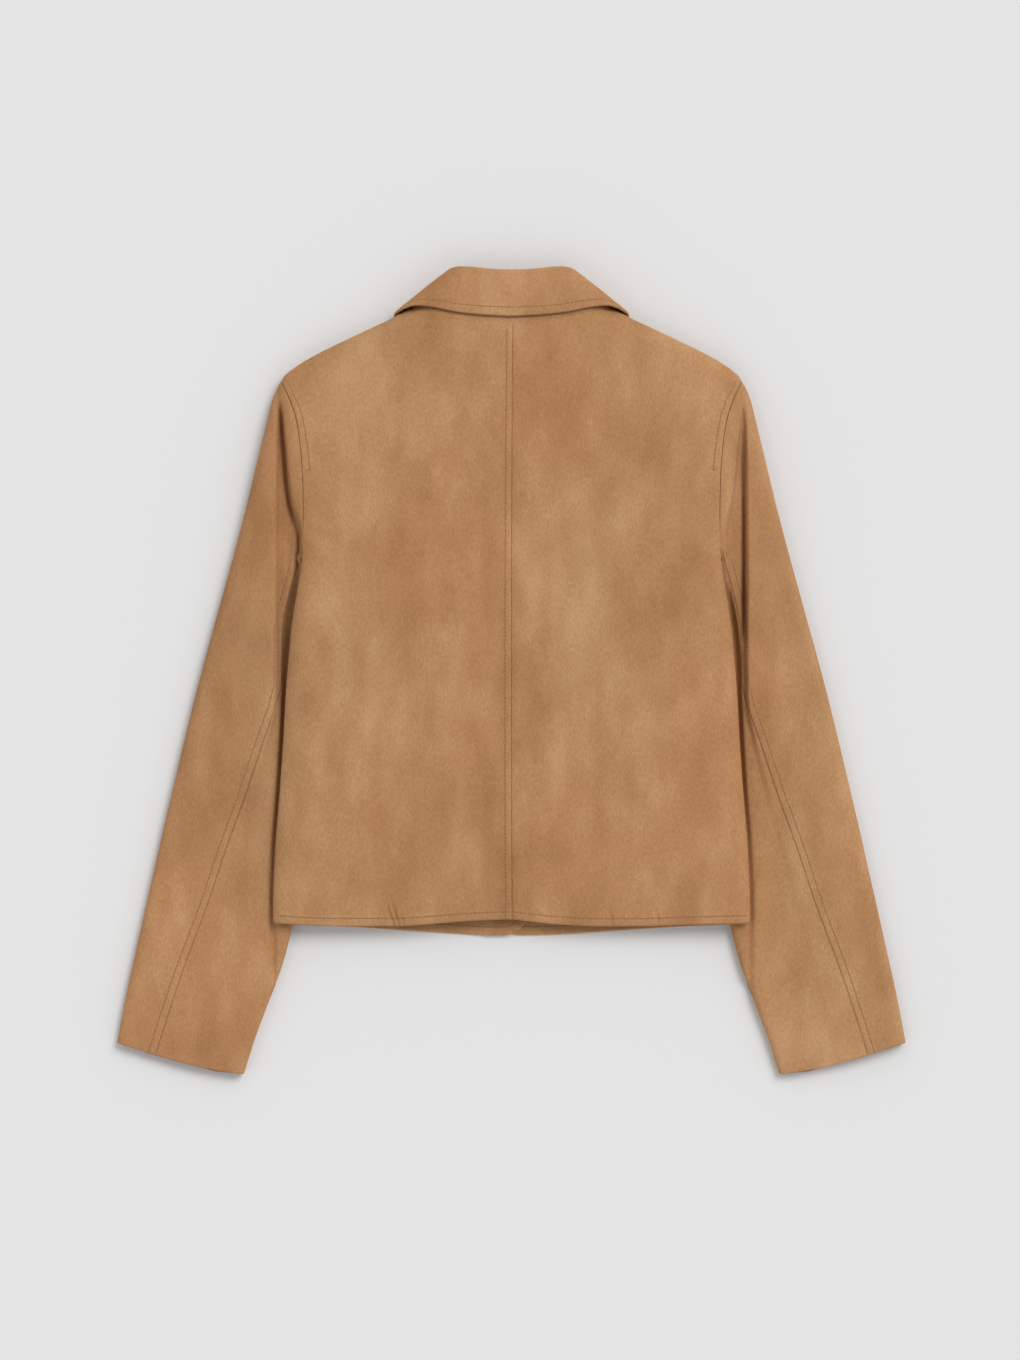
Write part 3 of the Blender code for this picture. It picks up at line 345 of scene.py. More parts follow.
sleeveLook = {
    "waves": 1.0,            # height of the soft unevenness, mm
    "elbowLine": 6.3,        # topstitch beside the elbow seam, mm from it
    "cuffThick": 2.4,        # thickness of the turned cuff
    "cuffDeep": 24,
    "cuffBow": 2,            # how far the under sleeve's cuff bows out
    # how deep the sleeve dips beside the body and how wide, beside the turned strip, and beside its ridge
    "dips": {
        -1: table("y crevice wide strip ridge", [
            (-364, 2.9, 2.9, 0, 0), (-190, 2.9, 2.9, 0, 0), (-100, 7.4, 2.9, 0, 0), (-70, 8.2, 3, 0, 0),
            (-20, 8.4, 3.6, 0, 0), (0, 8.4, 5, 0, 0), (20, 8.4, 6, 0, 0), (42, 8.4, 7, 0, 0.5),
            (63, 8.4, 6.2, 0, 0.5), (80, 6.8, 5.2, 0, 0.5), (92, 3.5, 4.4, 5, 0.5),
            (104, 0, 4, 9.5, 0.5), (150, 0, 4, 5.5, 0.5), (218, 0, 4, 5.5, 0.5), (248, 0, 4, 0, 0)]),
        1: table("y crevice wide strip ridge", [
            (-364, 2.8, 2.6, 0, 0), (-190, 2.8, 2.6, 0, 0), (-100, 7.2, 2.6, 0, 0), (-70, 8, 2.8, 0, 0),
            (-20, 8.4, 3.4, 0, 0), (0, 8.4, 4.4, 0, 0), (14, 8.4, 5, 0, 0), (40, 8, 5, 0, 8),
            (64, 4.3, 4.6, 0, 10.5), (84, 0, 4, 0, 10.5), (100, 0, 4, -1.5, 10.5), (145, 0, 4, -2, 8.4),
            (182, 0, 4, -2, 5), (215, 0, 4, -2, 2), (240, 0, 4, -1, 0), (250, 0, 4, 0, 0)])},
    "lip": {-1: 0.0, 1: 0.7},  # how far the edge of the turned strip stands up
    "creases": {             # x0 y0 x1 y1 width depth bend, in mm
        -1: [
            (-278, -196, -252, -226, 6, 0.8, 2), (-306, -188, -286, -206, 6, 0.7, -2),
            (-232, 60, -220, -10, 6, 0.8, 2), (-262, 20, -282, -60, 10, 0.6, 4),
            (-240, 180, -236, 110, 5, 0.6, 2), (-300, -250, -280, -300, 8, 0.6, 3),
            (-212, 98, -205, 60, 3, 0.8, 1), (-330, -270, -320, -330, 8, 0.5, 2),
            (-256, -90, -240, -140, 9, 0.5, 3)],
        1: [
            (204, -206, 226, -236, 4, 0.9, 2), (248, -206, 270, -222, 6, 0.7, -2),
            (236, 60, 224, -10, 6, 0.7, -2), (268, 10, 286, -70, 10, 0.6, -4),
            (240, 190, 236, 120, 5, 0.6, -2), (296, -240, 278, -300, 8, 0.6, -3),
            (214, 92, 207, 50, 3, 0.8, -1), (322, -250, 330, -320, 8, 0.5, 2),
            (252, -100, 236, -150, 9, 0.5, -3)]},
}


# x of the seam on the upper side: the armhole down to the elbow seam, then the elbow seam
def backSeamX(y):
    return np.where(y >= elbowSeamY, halfWidth(y), elbowSeam("x", y))


# x of the seam on the underside: the armhole down to the forearm seam, then the forearm seam
def frontSeamX(y):
    return np.where(y >= elbowSeamY, frontHalfWidth(y), forearmSeam("x", y))


# z = the turned strip beside the armhole, down into the hollow, up to the ridge, down to the flat face, and
# round the outer and the inner fold as quarter ellipses
def sleeveTopPlain(x, y):
    out = x - halfWidth(y)
    strip = sleeveTable("strip", y)
    fall = 3.6 * mm + 9 * mm * ease((152 * mm - y) / (44 * mm))
    beside = np.where(y >= underarmY, backPlain(halfWidth(y), y), tuckTable("top", y))
    turned = np.where(strip > 0, np.clip(out / np.maximum(strip, mm), 0, 1), 0)
    near = beside - 1.5 * mm * turned + 0.9 * mm * np.sin(np.pi * turned) * ease(strip / (8 * mm))
    valley = sleeveTable("valley", y)
    z = valley + (near - valley) * (1 - ease((out - strip) / fall))
    ridge = sleeveTable("ridge", y)
    crest = sleeveTable("crest", y)
    face = sleeveTable("face", y)
    z = z + (crest - valley) * ease((x - ridge + 4.5 * mm) / (5 * mm))
    z = z + (face - crest) * ease((x - ridge) / (45 * mm))
    outer = sleeveTable("outer", y)
    fold = sleeveTable("foldZ", y)
    radius = np.minimum(outerRoll, 0.8 * (outer - halfWidth(y)) + 0.01 * mm)
    z = fold + (z - fold) * roundOff(outer - x, radius)
    tuck = tuckTable("foldZ", y)
    inner = tuckTable("inner", y)
    return np.where(y < underarmY, tuck + (z - tuck) * roundOff(x - inner, innerRoll), z)


# waves and creases on the open face of the sleeve, and the band beside the elbow seam
def sleeveTopHeight(x, y, side):
    outer = sleeveTable("outer", y)
    openFace = ease((x - halfWidth(y) - 4 * mm) / (16 * mm)) * ease((outer - x) / (16 * mm))
    openFace = openFace * ease((tipY - 10 * mm - y) / (50 * mm))
    z = openFace * (softWaves(side * x, y, 23 + side, sleeveLook["waves"] * mm)
                 + creaseField(side * x, y, sleeveLook["creases"][side]))
    out = x - halfWidth(y)
    dips = sleeveLook["dips"][side]
    crevice, wide, strip, ridge = (dips(name, y) for name in ("crevice", "wide", "strip", "ridge"))
    z = z - crevice * np.exp(-(out / wide) ** 4)
    turned = sleeveTable("strip", y)
    z = z - strip * bell(out - turned - 3.4 * mm, 2.4 * mm) * ease(out / (3 * mm))
    z = z + sleeveLook["lip"][side] * mm * bell(out - turned, 1.1 * mm) * ease(turned / (6 * mm))
    z = z - ridge * bell(x - sleeveTable("ridge", y) + 2.6 * mm, 1.8 * mm)
    seam = 0.94 * (x - elbowSeam("x", y))
    band = stitchedBand(seam, sleeveLook["elbowLine"] * mm, 0.45 * mm)
    beside = np.where(seam >= 0, band, -0.25 * mm * bell(seam, 1.6 * mm))
    z = z + beside * ease((elbowSeamY - 4 * mm - y) / (12 * mm))
    return sleeveTopPlain(x, y) + z


# z = the floor, up to the outer fold and to the front armhole seam or the inner fold
def sleeveBelowPlain(x, y):
    outer = sleeveTable("outer", y)
    radius = np.minimum(outerRoll, 0.8 * (outer - frontHalfWidth(y)) + 0.01 * mm)
    z = sleeveTable("foldZ", y) * (1 - roundOff(outer - x, radius))
    edge = frontHalfWidth(y)
    joined = z + (frontPlain(edge, y, 1) - z) * (1 - np.clip((x - edge) / seamRise, 0, 1)) ** 2
    inner = tuckTable("inner", y)
    seamward = ease((y - 45 * mm) / (underarmY - 45 * mm))
    rolled = 1 - roundOff(x - inner, innerRoll)
    share = rolled + seamward * ((1 - np.clip((x - inner) / seamRise, 0, 1)) ** 2 - rolled)
    tucked = z + (tuckTable("foldZ", y) - z) * share
    return np.where(y < underarmY, tucked, joined)


# the underside rests on the floor, so its soft waves only lift it, away from its folds and seams
def sleeveBelowHeight(x, y, side):
    outer = sleeveTable("outer", y)
    inner = np.where(y < underarmY, tuckTable("inner", y), frontHalfWidth(y))
    free = ease((x - inner - 18 * mm) / (20 * mm)) * ease((outer - x - 14 * mm) / (16 * mm))
    waves = np.clip(softWaves(side * x, y, 31 + side, 1.3 * mm), 0, None)
    return sleeveBelowPlain(x, y) + free * waves


# stations = distances along a row of the given length: close together near its start and its end, as listed in
# mm, and evenly spread between; on a short row the lists shrink with it
def stations(length, near, far, count):
    length = np.asarray(length, float)[:, None]
    near, far = np.array(near)[None, :] * mm, np.array(far)[None, ::-1] * mm
    scale = np.minimum(1, 0.42 * length / max(near.max(), far.max()))
    middle = np.linspace(0, 1, count + 2)[None, 1:-1]
    first, last = near[:, -1:] * scale, length - far[:, :1] * scale
    return np.concatenate([near * scale, first + (last - first) * middle, length - far * scale], axis=1)


# the distances of grid lines from a seam, from a seam with a topstitch beside it, from a stitched hem, from a
# fold and from a free edge, mm
seamLines = [0.06, 0.2, 0.42, 0.75, 1.2, 1.9, 3]
stitchLines = [0.06, 0.2, 0.42, 0.75, 1.2, 1.9, 2.8, 3.8, 4.6, 5.2, 5.6, 6.0, 6.4, 6.8, 7.4, 8.4]
hemLines = [0, 0.1, 0.3, 0.7, 1.3, 2.2, 3.4, 4.8, 5.8, 6.4, 6.9, 7.3, 7.7, 8.3, 9.2, 10.6]
foldLines = [0, 0.04, 0.14, 0.35, 0.7, 1.2, 1.9, 2.8, 4, 5.4, 7, 9]
edgeLines = [0, 0.1, 0.3, 0.7, 1.3, 2.2]
# and how many lines lie evenly between: across and up a body piece; above and below the fold of a sleeve, whose
# rows are sleeveStep apart; and from the fold of the collar to its edges
gridCounts = {
    "back": (110, 205), "front": (70, 145), "topSleeve": (42, 32), "underSleeve": (36, 26), "collar": 20,
}
sleeveStep = 2.6 * mm


# out = unit(-dz/dx, -dz/dy, 1), times -1 for a face that looks down
def field(plan, height, facing):
    x, y = plan[..., 0], plan[..., 1]
    step = 0.4 * mm
    slopeX = (height(x + step, y) - height(x - step, y)) / (2 * step)
    slopeY = (height(x, y + step) - height(x, y - step)) / (2 * step)
    return facing * unit(np.stack([-slopeX, -slopeY, np.ones_like(slopeX)], -1))


# x = start + share (width(y) - start), y = hem + up (top - hem): rows from the hem to the shoulder
def panel(columns, startX, width, hem, top, rows):
    share = (columns - columns[0]) / (tipX - columns[0])
    up = ((rows - rows[0]) / (rows[-1] - rows[0]))[:, None]
    start = startX(rows)[:, None]
    x = start + share[None, :] * (width(rows)[:, None] - start)
    low = hem(x[:1])
    return np.stack([x, low + up * (top(x[-1:]) - low)], -1)


# the plan at z = height(x, y)
def raised(plan, height):
    return np.concatenate([plan, height(plan[..., 0], plan[..., 1])[..., None]], -1)


# the direction out of the face near a fold that two pieces share lies flat: its z shrinks over the last 1.5 mm
def layFlat(out, distance):
    out = out.copy()
    out[..., 2] *= np.clip(distance / (1.5 * mm), 0, 1)
    return unit(out)


# distance from the shoulder fold and, below the underarm, from the side fold at width(y)
def foldDistance(x, y, width):
    fromShoulder = np.where(x > neckX, shoulderLine(x) - y, 1.0)
    return np.minimum(fromShoulder, np.where(y < underarmY, width(y) - x, 1.0))


# points and outward directions of a back: columns across and rows from the hem to the shoulder
def backGrid(side):
    across, up = gridCounts["back"]
    columns = stations([tipX], stitchLines, stitchLines, across)[0]
    aside = columns - bodyLook["puckersAt"] * mm
    columns = columns - 0.42 * aside * bell(aside, 32 * mm)
    rows = hemY + stations([tipY - hemY], hemLines, edgeLines + [3.6, 5.4, 7.6, 10, 13], up)[0]
    plan = panel(columns, lambda y: side * centreSeam(y), lambda y: halfWidth(y) - sideInset,
                 lambda x: backHem("y", side * x) + sideCorner(x), lambda x: topTable("back", x), rows)
    x, y = plan[..., 0], plan[..., 1]
    out = layFlat(field(plan, backPlain, 1), foldDistance(x, y, halfWidth))
    points = raised(plan, lambda x, y: backHeight(x, y, side))
    return points * (side, 1, 1), out * (side, 1, 1)


# y = the hem, with the lower corner of the front edge rounded: r (1 - sqrt(1 - (1 - d / r)^2))
def frontHemY(x, side):
    inside = np.clip((x + frontLap) / frontCorner, 0, 1)
    return frontHem("y", side * x) + frontCorner * (1 - np.sqrt(1 - (1 - inside) ** 2))


# the same for a front, from the front edge to the side, up to the neckline and the shoulder
def frontGrid(side):
    across, up = gridCounts["front"]
    columns = -frontLap + stations([tipX + frontLap], edgeLines + [3.6, 5.4], seamLines + [5, 8], across)[0]
    rows = hemY + stations([tipY - hemY], hemLines, edgeLines + [4, 7, 10], up)[0]

    def top(x):
        return np.where(x <= neckX, frontNeck("y", x), topTable("back", x))

    plan = panel(columns, lambda y: 0 * y - frontLap, lambda y: frontHalfWidth(y) - sideInset,
                 lambda x: frontHemY(x, side) + sideCorner(x), top, rows)
    x, y = plan[..., 0], plan[..., 1]
    out = field(plan, lambda x, y: frontPlain(x, y, side), -1)
    out = layFlat(out, foldDistance(x, y, frontHalfWidth))
    points = raised(plan, lambda x, y: frontHeight(x, y, side))
    return points * (side, 1, 1), out * (side, 1, 1)


# a band of sleeve: straight rows from one seam to a fold on the upper side, and on from the fold to the other
# seam on the underside
def foldOver(start, fold, end, lines, counts, side):
    parts = []
    for a, b, near, far, count in ((start, fold, lines[0], foldLines, counts[0]),
                                   (fold, end, foldLines, lines[1], counts[1])):
        length = np.linalg.norm(b - a, axis=1)
        share = stations(length, near, far, count) / (length[:, None] + 1e-12)
        parts.append(a[:, None, :] + (b - a)[:, None, :] * share[..., None])
    above, below = parts
    up = layFlat(field(above, sleeveTopPlain, 1), np.linalg.norm(above - fold[:, None, :], axis=2))
    down = layFlat(field(below, sleeveBelowPlain, -1), np.linalg.norm(below - fold[:, None, :], axis=2))
    above = raised(above, lambda x, y: sleeveTopHeight(x, y, side))
    below = raised(below, lambda x, y: sleeveBelowHeight(x, y, side))
    return np.concatenate([above, below[:, 1:]], axis=1), np.concatenate([up, down[:, 1:]], axis=1)


# the four lines of a sleeve at the given rows, as x and y
def sleeveEnds(rows):
    at = {name: sleeveRows(name, rows * mm) for name in ("back", "outer", "front", "inner")}
    return {"back": np.stack([backSeamX(at["back"]), at["back"]], -1),
            "outer": np.stack([sleeveTable("outer", at["outer"]), at["outer"]], -1),
            "front": np.stack([frontSeamX(at["front"]), at["front"]], -1),
            "inner": np.stack([tuckTable("inner", at["inner"]), at["inner"]], -1)}


# rows a step apart along the seam on the upper side, closer together near both ends
def rowsBetween(first, last, step):
    rough = np.linspace(first, last, 2000)
    y = sleeveEnds(rough)["back"][:, 1]
    length = np.concatenate([[0], np.cumsum(np.abs(np.diff(y)))])
    at = stations([length[-1]], edgeLines, edgeLines, int(length[-1] / step))[0]
    return np.interp(at, length, rough)


# the top sleeve folds over the outer line of the arm, from the elbow seam to the forearm seam
def topSleeveGrid(side):
    ends = sleeveEnds(rowsBetween(0, cuffRow, sleeveStep))
    points, out = foldOver(ends["back"], ends["outer"], ends["front"], (stitchLines, seamLines),
                           gridCounts["topSleeve"], side)
    return points * (side, 1, 1), out * (side, 1, 1)


# the cuff bows: y moves by 4 cuffBow share (1 - share) over the upper side, fading up the arm
def underSleeveGrid(side):
    rows = rowsBetween(elbowRow, cuffRow, sleeveStep)
    ends = sleeveEnds(rows)
    counts = gridCounts["underSleeve"]
    points, out = foldOver(ends["back"], ends["inner"], ends["front"], (seamLines, seamLines), counts, side)
    above = len(seamLines) + counts[0] + len(foldLines)
    share = np.linalg.norm(points[:, :above, :2] - points[:, :1, :2], axis=2)
    share = share / (share[:, -1:] + 1e-12)
    down = ((rows - elbowRow) / (cuffRow - elbowRow))[:, None] ** 6
    points[:, :above, 1] -= 4 * sleeveLook["cuffBow"] * mm * share * (1 - share) * down
    return points * (side, 1, 1), out * (side, 1, 1)


collarLook = {
    "leafThick": 1.8,        # the leaf is two thin layers, glued and stitched, mm
    "edgeLine": 8.5,         # topstitch along the free edge, mm from it
    "bow": 0.9,              # how far the leaf bows up between its fold and its edge
    "droop": 2.8,            # how far its edge comes down to the back, at the centre
    "edgeThick": 2.5,        # thickness of the leaf outside its topstitch
}


# the crest or the free edge of the collar at the given rows
def collarLine(name, rows, side):
    at = [collarTable(name + axis, rows * mm) for axis in "XYZ"]
    return np.stack([side * at[0], at[1], at[2]], -1)


# the neck seam at the given collar rows, and the direction out of the panels there; x follows the back neck up
# to row 6 and the front neck past it
def neckLine(rows, side):
    def frontBase(x, y):
        return frontPlain(x, y, side)

    x = np.interp(rows, *neckRowsBack)
    back = np.stack([x, topTable("back", x)], -1)
    x = np.interp(rows, *neckRowsFront)
    front = np.stack([x, frontNeck("y", x)], -1)
    points = np.where(rows[:, None] <= 6, raised(back, backPlain), raised(front, frontBase))
    share = ease((rows - 5.7) / 0.6)[:, None]
    out = unit((1 - share) * field(back, backPlain, 1) + share * field(front, frontBase, -1))
    return points * (side, 1, 1), out * (side, 1, 1)


# each band turns over half of the crest, centre + half (across sin t - away cos t) for t from 0 to 90 degrees,
# then runs on to its other edge; the leaf is bowed by bow sin(pi share)
def collarBand(side, rows, face):
    crest, edge = collarLine("crest", rows, side), collarLine("edge", rows, side)
    neck, neckOut = neckLine(rows, side)
    near = ease(1.6 - 1.3 * np.abs(rows - 6.3))[:, None]
    under = ease((6.2 - rows) / 0.6)[:, None]     # the stand's allowance lies under the edge of the back
    sewn = neck - (1 + 0.85 * under) * mm * neckOut + (2.4 * near - 3 * under) * mm * unit(crest - neck)
    away = unit(unit(edge[:, :2] - crest[:, :2]) + unit(sewn[:, :2] - crest[:, :2]))
    away = np.concatenate([away, np.zeros((len(rows), 1))], axis=1)
    outward = np.stack([-away[:, 1] * side, away[:, 0] * side, np.zeros(len(rows))], -1)
    lean = np.radians(collarTable("lean", rows * mm) / mm)[:, None]
    across = np.cos(lean) * np.array([0, 0, 1]) + np.sin(lean) * outward
    half = collarTable("half", rows * mm)[:, None]
    centre = crest + away * half
    turn = np.radians(np.array([1.5, 3, 6, 10, 16, 24, 34, 45, 57, 69, 80, 90]))[None, :, None]
    turned = face * across[:, None] * np.sin(turn) - away[:, None] * np.cos(turn)
    arc = centre[:, None] + half[:, None] * turned
    end = (edge if face > 0 else sewn)[:, None]
    start = arc[:, -1:]
    length = np.linalg.norm(end - start, axis=2)[:, 0]
    lines = hemLines if face > 0 else edgeLines
    share = stations(length, [0.8], lines, gridCounts["collar"]) / (length[:, None] + 1e-12)
    share = share[..., None]
    run = start + (end - start) * share
    if face > 0:
        line = collarLook["edgeLine"] * mm
        toEdge = length[:, None, None] * (1 - share)
        lift = collarLook["bow"] * mm * np.sin(np.pi * share) * ease((7.5 - rows) / 2.5)[:, None, None]
        lift = lift - collarLook["droop"] * mm * share ** 3 * ease((4.6 - rows) / 1.6)[:, None, None]
        band = stitchedBand(toEdge, line, 0.35 * mm) * ease(7 - rows)[:, None, None]
        run = run + across[:, None] * (lift + band)
    return np.concatenate([arc, run], axis=1), across


# both halves in one grid, from the left front end round the back to the right one
def collarGrid(face):
    steps = np.concatenate([np.linspace(0, 4, 60), np.linspace(4, 7.2, 80)[1:], np.linspace(7.2, 12, 52)[1:-5],
                            12 - np.array([0.3, 0.2, 0.12, 0.07, 0.035, 0.015, 0.005, 0])])
    left, leftUp = collarBand(-1, steps, face)
    right, rightUp = collarBand(1, steps, face)
    points = np.concatenate([left[:0:-1], right])
    out = unit(np.cross(np.gradient(points, axis=0), np.gradient(points, axis=1)))
    up = np.concatenate([leftUp[:0:-1], rightUp])[:, None]
    middle = len(points) // 2
    if np.sum(out[middle, 14] * up[middle, 0]) * face < 0:
        out = -out
    return points, out


# distances of the points of a grid from its four borders, along its own lines
def borderDistances(points):
    down = np.linalg.norm(np.diff(points, axis=0), axis=2)
    across = np.linalg.norm(np.diff(points, axis=1), axis=2)
    top = np.concatenate([np.zeros((1, points.shape[1])), np.cumsum(down, axis=0)])
    left = np.concatenate([np.zeros((points.shape[0], 1)), np.cumsum(across, axis=1)], axis=1)
    return {"firstRow": top, "lastRow": top[-1:] - top, "firstColumn": left, "lastColumn": left[:, -1:] - left}


# The closed wall of a piece: an outer face and one that lies thick further in. Within r of a border both come
# together by pinch = 1 - sqrt(1 - (1 - d / r)^2): on a free edge half way through, with r = thick / 2, and on a
# seam 0.45 mm below the outer face, with r = 0.8 mm, so that the seam is a shallow groove.
def wall(points, out, thick, seams):
    drop, rise = np.zeros_like(thick), np.zeros_like(thick)
    for name, distance in borderDistances(points).items():
        reach, depth = (0.8 * mm, 0.45 * mm) if name in seams else (0.5 * thick, 0.5 * thick)
        pinch = 1 - np.sqrt(1 - np.clip(1 - distance / reach, 0, 1) ** 2)
        drop, rise = np.maximum(drop, pinch * depth), np.maximum(rise, pinch * (thick - depth))
    inner = np.minimum(rise - thick, -drop)
    return points - drop[..., None] * out, points + inner[..., None] * out


# faces of both grids, which share the points of their border
def wallFaces(rows, columns):
    outer = np.arange(rows * columns).reshape(rows, columns)
    inner = outer + rows * columns
    inner[0], inner[-1], inner[:, 0], inner[:, -1] = outer[0], outer[-1], outer[:, 0], outer[:, -1]
    corners = [(slice(None, -1), slice(None, -1)), (slice(1, None), slice(None, -1)),
               (slice(1, None), slice(1, None)), (slice(None, -1), slice(1, None))]
    return np.concatenate([np.stack([outer[c] for c in corners], -1).reshape(-1, 4),
                           np.stack([inner[c] for c in corners[::-1]], -1).reshape(-1, 4)])


# an object in the scene
def addObject(name, data):
    thing = bpy.data.objects.new(name, data)
    bpy.context.scene.collection.objects.link(thing)
    return thing


# a mesh object from points and four-sided faces, without the points that no face uses
def addMesh(name, points, faces, material):
    used, faces = np.unique(faces, return_inverse=True)
    mesh = bpy.data.meshes.new(name)
    mesh.from_pydata(points[used].tolist(), [], faces.reshape(-1, 4).tolist())
    mesh.update()
    mesh.shade_smooth()
    mesh.materials.append(material)
    return addObject(name, mesh)


def addCloth(name, node, grid, thick, seams, stitches):
    points, out = grid
    outer, inner = wall(points, out, np.broadcast_to(thick, points.shape[:2]).copy(), seams)
    faces = wallFaces(*points.shape[:2])
    winding = np.cross(np.gradient(points, axis=0), np.gradient(points, axis=1))
    if np.sum(winding * out) < 0:
        faces = faces[:, ::-1]
    piece = addMesh(name, np.concatenate([outer.reshape(-1, 3), inner.reshape(-1, 3)]), faces, suede)
    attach(piece, "root")
    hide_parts(node)
    if stitches:
        addStitches(name + "Stitches", stitches)
    return piece


stitchLook = {
    "pitch": 3.5,            # from one stitch to the next, mm
    "length": 3.4,           # of one stitch, hole to hole
    "radius": 0.46,          # of the thread
    "sink": 0.16,            # how far both ends go down into the suede
}


# Each stitch is a short rod along the seam: five rings of six points, ring = centre + tangent * u + up * lift
# + radius (up cos a + side sin a), thinner and lower at both ends.
def addStitches(name, runs):
    look = {key: value * mm for key, value in stitchLook.items()}
    centres, tangents, ups = [], [], []
    for path, up in runs:
        length = np.concatenate([[0], np.cumsum(np.linalg.norm(np.diff(path, axis=0), axis=1))])
        at = np.arange(0.5 * look["pitch"], length[-1], look["pitch"])
        centres.append(np.stack([np.interp(at, length, path[:, k]) for k in range(3)], -1))
        slope = np.gradient(path, axis=0)
        tangents.append(unit(np.stack([np.interp(at, length, slope[:, k]) for k in range(3)], -1)))
        ups.append(unit(np.stack([np.interp(at, length, up[:, k]) for k in range(3)], -1)))
    centre, tangent, up = (np.concatenate(each)[:, None, None] for each in (centres, tangents, ups))
    aside = unit(np.cross(tangent, up))
    u = np.array([-1, -0.8, 0, 0.8, 1])[None, :, None, None]
    thin = np.array([0.5, 0.9, 1, 0.9, 0.5])[None, :, None, None]
    angle = np.radians(np.arange(0, 360, 60))[None, None, :, None]
    rings = centre + tangent * u * look["length"] / 2 - up * look["sink"] * u ** 4
    rings = rings + look["radius"] * thin * (up * np.cos(angle) + aside * np.sin(angle))
    count = len(centre)
    index = np.arange(count * 30).reshape(count, 5, 6)
    after = np.roll(index, -1, axis=2)
    sides = np.stack([index[:, :-1], index[:, 1:], after[:, 1:], after[:, :-1]], -1).reshape(-1, 4)
    low, high = index[:, 0], index[:, -1]
    caps = np.concatenate([low[:, [3, 2, 1, 0]], low[:, [0, 5, 4, 3]],
                           high[:, [0, 1, 2, 3]], high[:, [3, 4, 5, 0]]])
    faces = np.concatenate([sides, caps])
    a, b, c = (rings.reshape(-1, 3)[faces[0, k]] for k in range(3))
    if np.dot(np.cross(b - a, c - b), (a + b + c) / 3 - centre[0, 0, 0]) < 0:
        faces = faces[:, ::-1]
    piece = addMesh(name, rings.reshape(-1, 3), faces, thread)
    # paintedHoleShade = u^2: 1 at both ends of a stitch, where the thread is painted dark as painted shade of
    # its needle hole
    paintedHoleShade = np.broadcast_to(np.abs(u) ** 2, (count, 5, 6, 1)).ravel()
    piece.data.attributes.new("paintedHoleShade", "FLOAT", "POINT").data.foreach_set("value", paintedHoleShade.astype(np.float32))
    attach(piece, "root")
    return piece


# a run of stitches on a height field, from x and y along it; facing is -1 on a face that looks down, and lift
# moves the run out of the face
def runOn(x, y, height, side, facing=1, lift=0.0):
    plan = np.stack([x, y], -1)
    out = field(plan, height, facing)
    points = raised(plan, height) + out * lift
    return points * (side, 1, 1), out * (side, 1, 1)


# where the runs of stitches start and end along each seam or edge, mm
stitchRuns = {
    "centre": (-224, 308), "armhole": (180, 259), "backHem": (1.5, 212), "frontEdge": (228, -213.5),
    "frontHem": (8.5, 205), "elbow": (100, -345),
}


# points along a run
def runPoints(name, count):
    return np.linspace(*stitchRuns[name], count) * mm


# stitches on a back: beside the centre seam on the left half, beside the armhole, above the hem
def backStitches(side):
    def surface(x, y):
        return backHeight(x, y, side)

    runs = []
    if side < 0:
        y = runPoints("centre", 800)
        runs.append(runOn(side * centreSeam(y) + bodyLook["centreLine"] * mm, y, surface, side))
    y = runPoints("armhole", 160)
    runs.append(runOn(halfWidth(y) - armholeLine(y), y, surface, side))
    tack = np.linspace(0, 4, 9) * mm     # one stitch across the lower end
    runs.append(runOn(halfWidth(y[0]) - armholeLine(y[0]) + tack, y[0] + 0 * tack, surface, side))
    x = runPoints("backHem", 420)
    y = backHem("y", side * x) + bodyLook["hemLine"] * mm
    runs.append(runOn(x, y, surface, side))
    return runs


# stitches down the front edge, round the corner and along the hem, offset inwards by hemLine, on both faces
def frontStitches(side):
    def surface(x, y):
        return frontHeight(x, y, side)

    corner = frontCorner * (1 - np.cos(np.radians(np.linspace(0, 90, 40))))
    down = runPoints("frontEdge", 300)
    x = np.concatenate([np.full(len(down), -frontLap), corner - frontLap, runPoints("frontHem", 400)])
    y = np.concatenate([down, frontHemY(x[len(down):], side)])
    along = unit(np.gradient(np.stack([x, y], -1), axis=0))
    x, y = x - bodyLook["hemLine"] * mm * along[:, 1], y + bodyLook["hemLine"] * mm * along[:, 0]
    inner = runOn(x, y, surface, side, 1, bodyLook["hemThick"] * mm - 0.1 * mm)
    return [inner, runOn(x, y, surface, side, -1, -0.28 * mm)]


# stitches beside the elbow seam
def sleeveStitches(side):
    y = runPoints("elbow", 900)
    x = elbowSeam("x", y) + sleeveLook["elbowLine"] / 0.94 * mm
    return [runOn(x, y, lambda x, y: sleeveTopHeight(x, y, side), side)]


suedeLook = {
    "dark": "#a3764f", "middle": "#b4865e", "light": "#c59970",
    "warm": "#fffcf8", "cool": "#fafcfa",  # tints of the large patches
    "patch": 70,             # width of the large cloudy patches, mm
    "cloud": 24,             # and of the smaller ones
    "start": (1.02, 0.69, 1.72),  # where in the pattern the hide is cut
    "nap": 1.5,              # width of a tuft of nap; the real one is 0.3 mm, too fine to show
    "napDepth": 0.25,
}


# sRGB hex to linear: c / 12.92 below 0.04045, else ((c + 0.055) / 1.055)^2.4
def colour(hexText):
    values = [int(hexText[k:k + 2], 16) / 255 for k in (1, 3, 5)]
    return tuple(v / 12.92 if v <= 0.04045 else ((v + 0.055) / 1.055) ** 2.4 for v in values) + (1.0,)


# adds a node to a material or to the world, sets its properties and sockets, and links sockets from other nodes
def addNode(material, kind, settings=None, links=None):
    node = material.node_tree.nodes.new(kind)
    for key, value in (settings or {}).items():
        if isinstance(key, int) or key in node.inputs:
            node.inputs[key].default_value = value
        else:
            setattr(node, key, value)
    for key, source in (links or {}).items():
        material.node_tree.links.new(source, node.inputs[key])
    return node


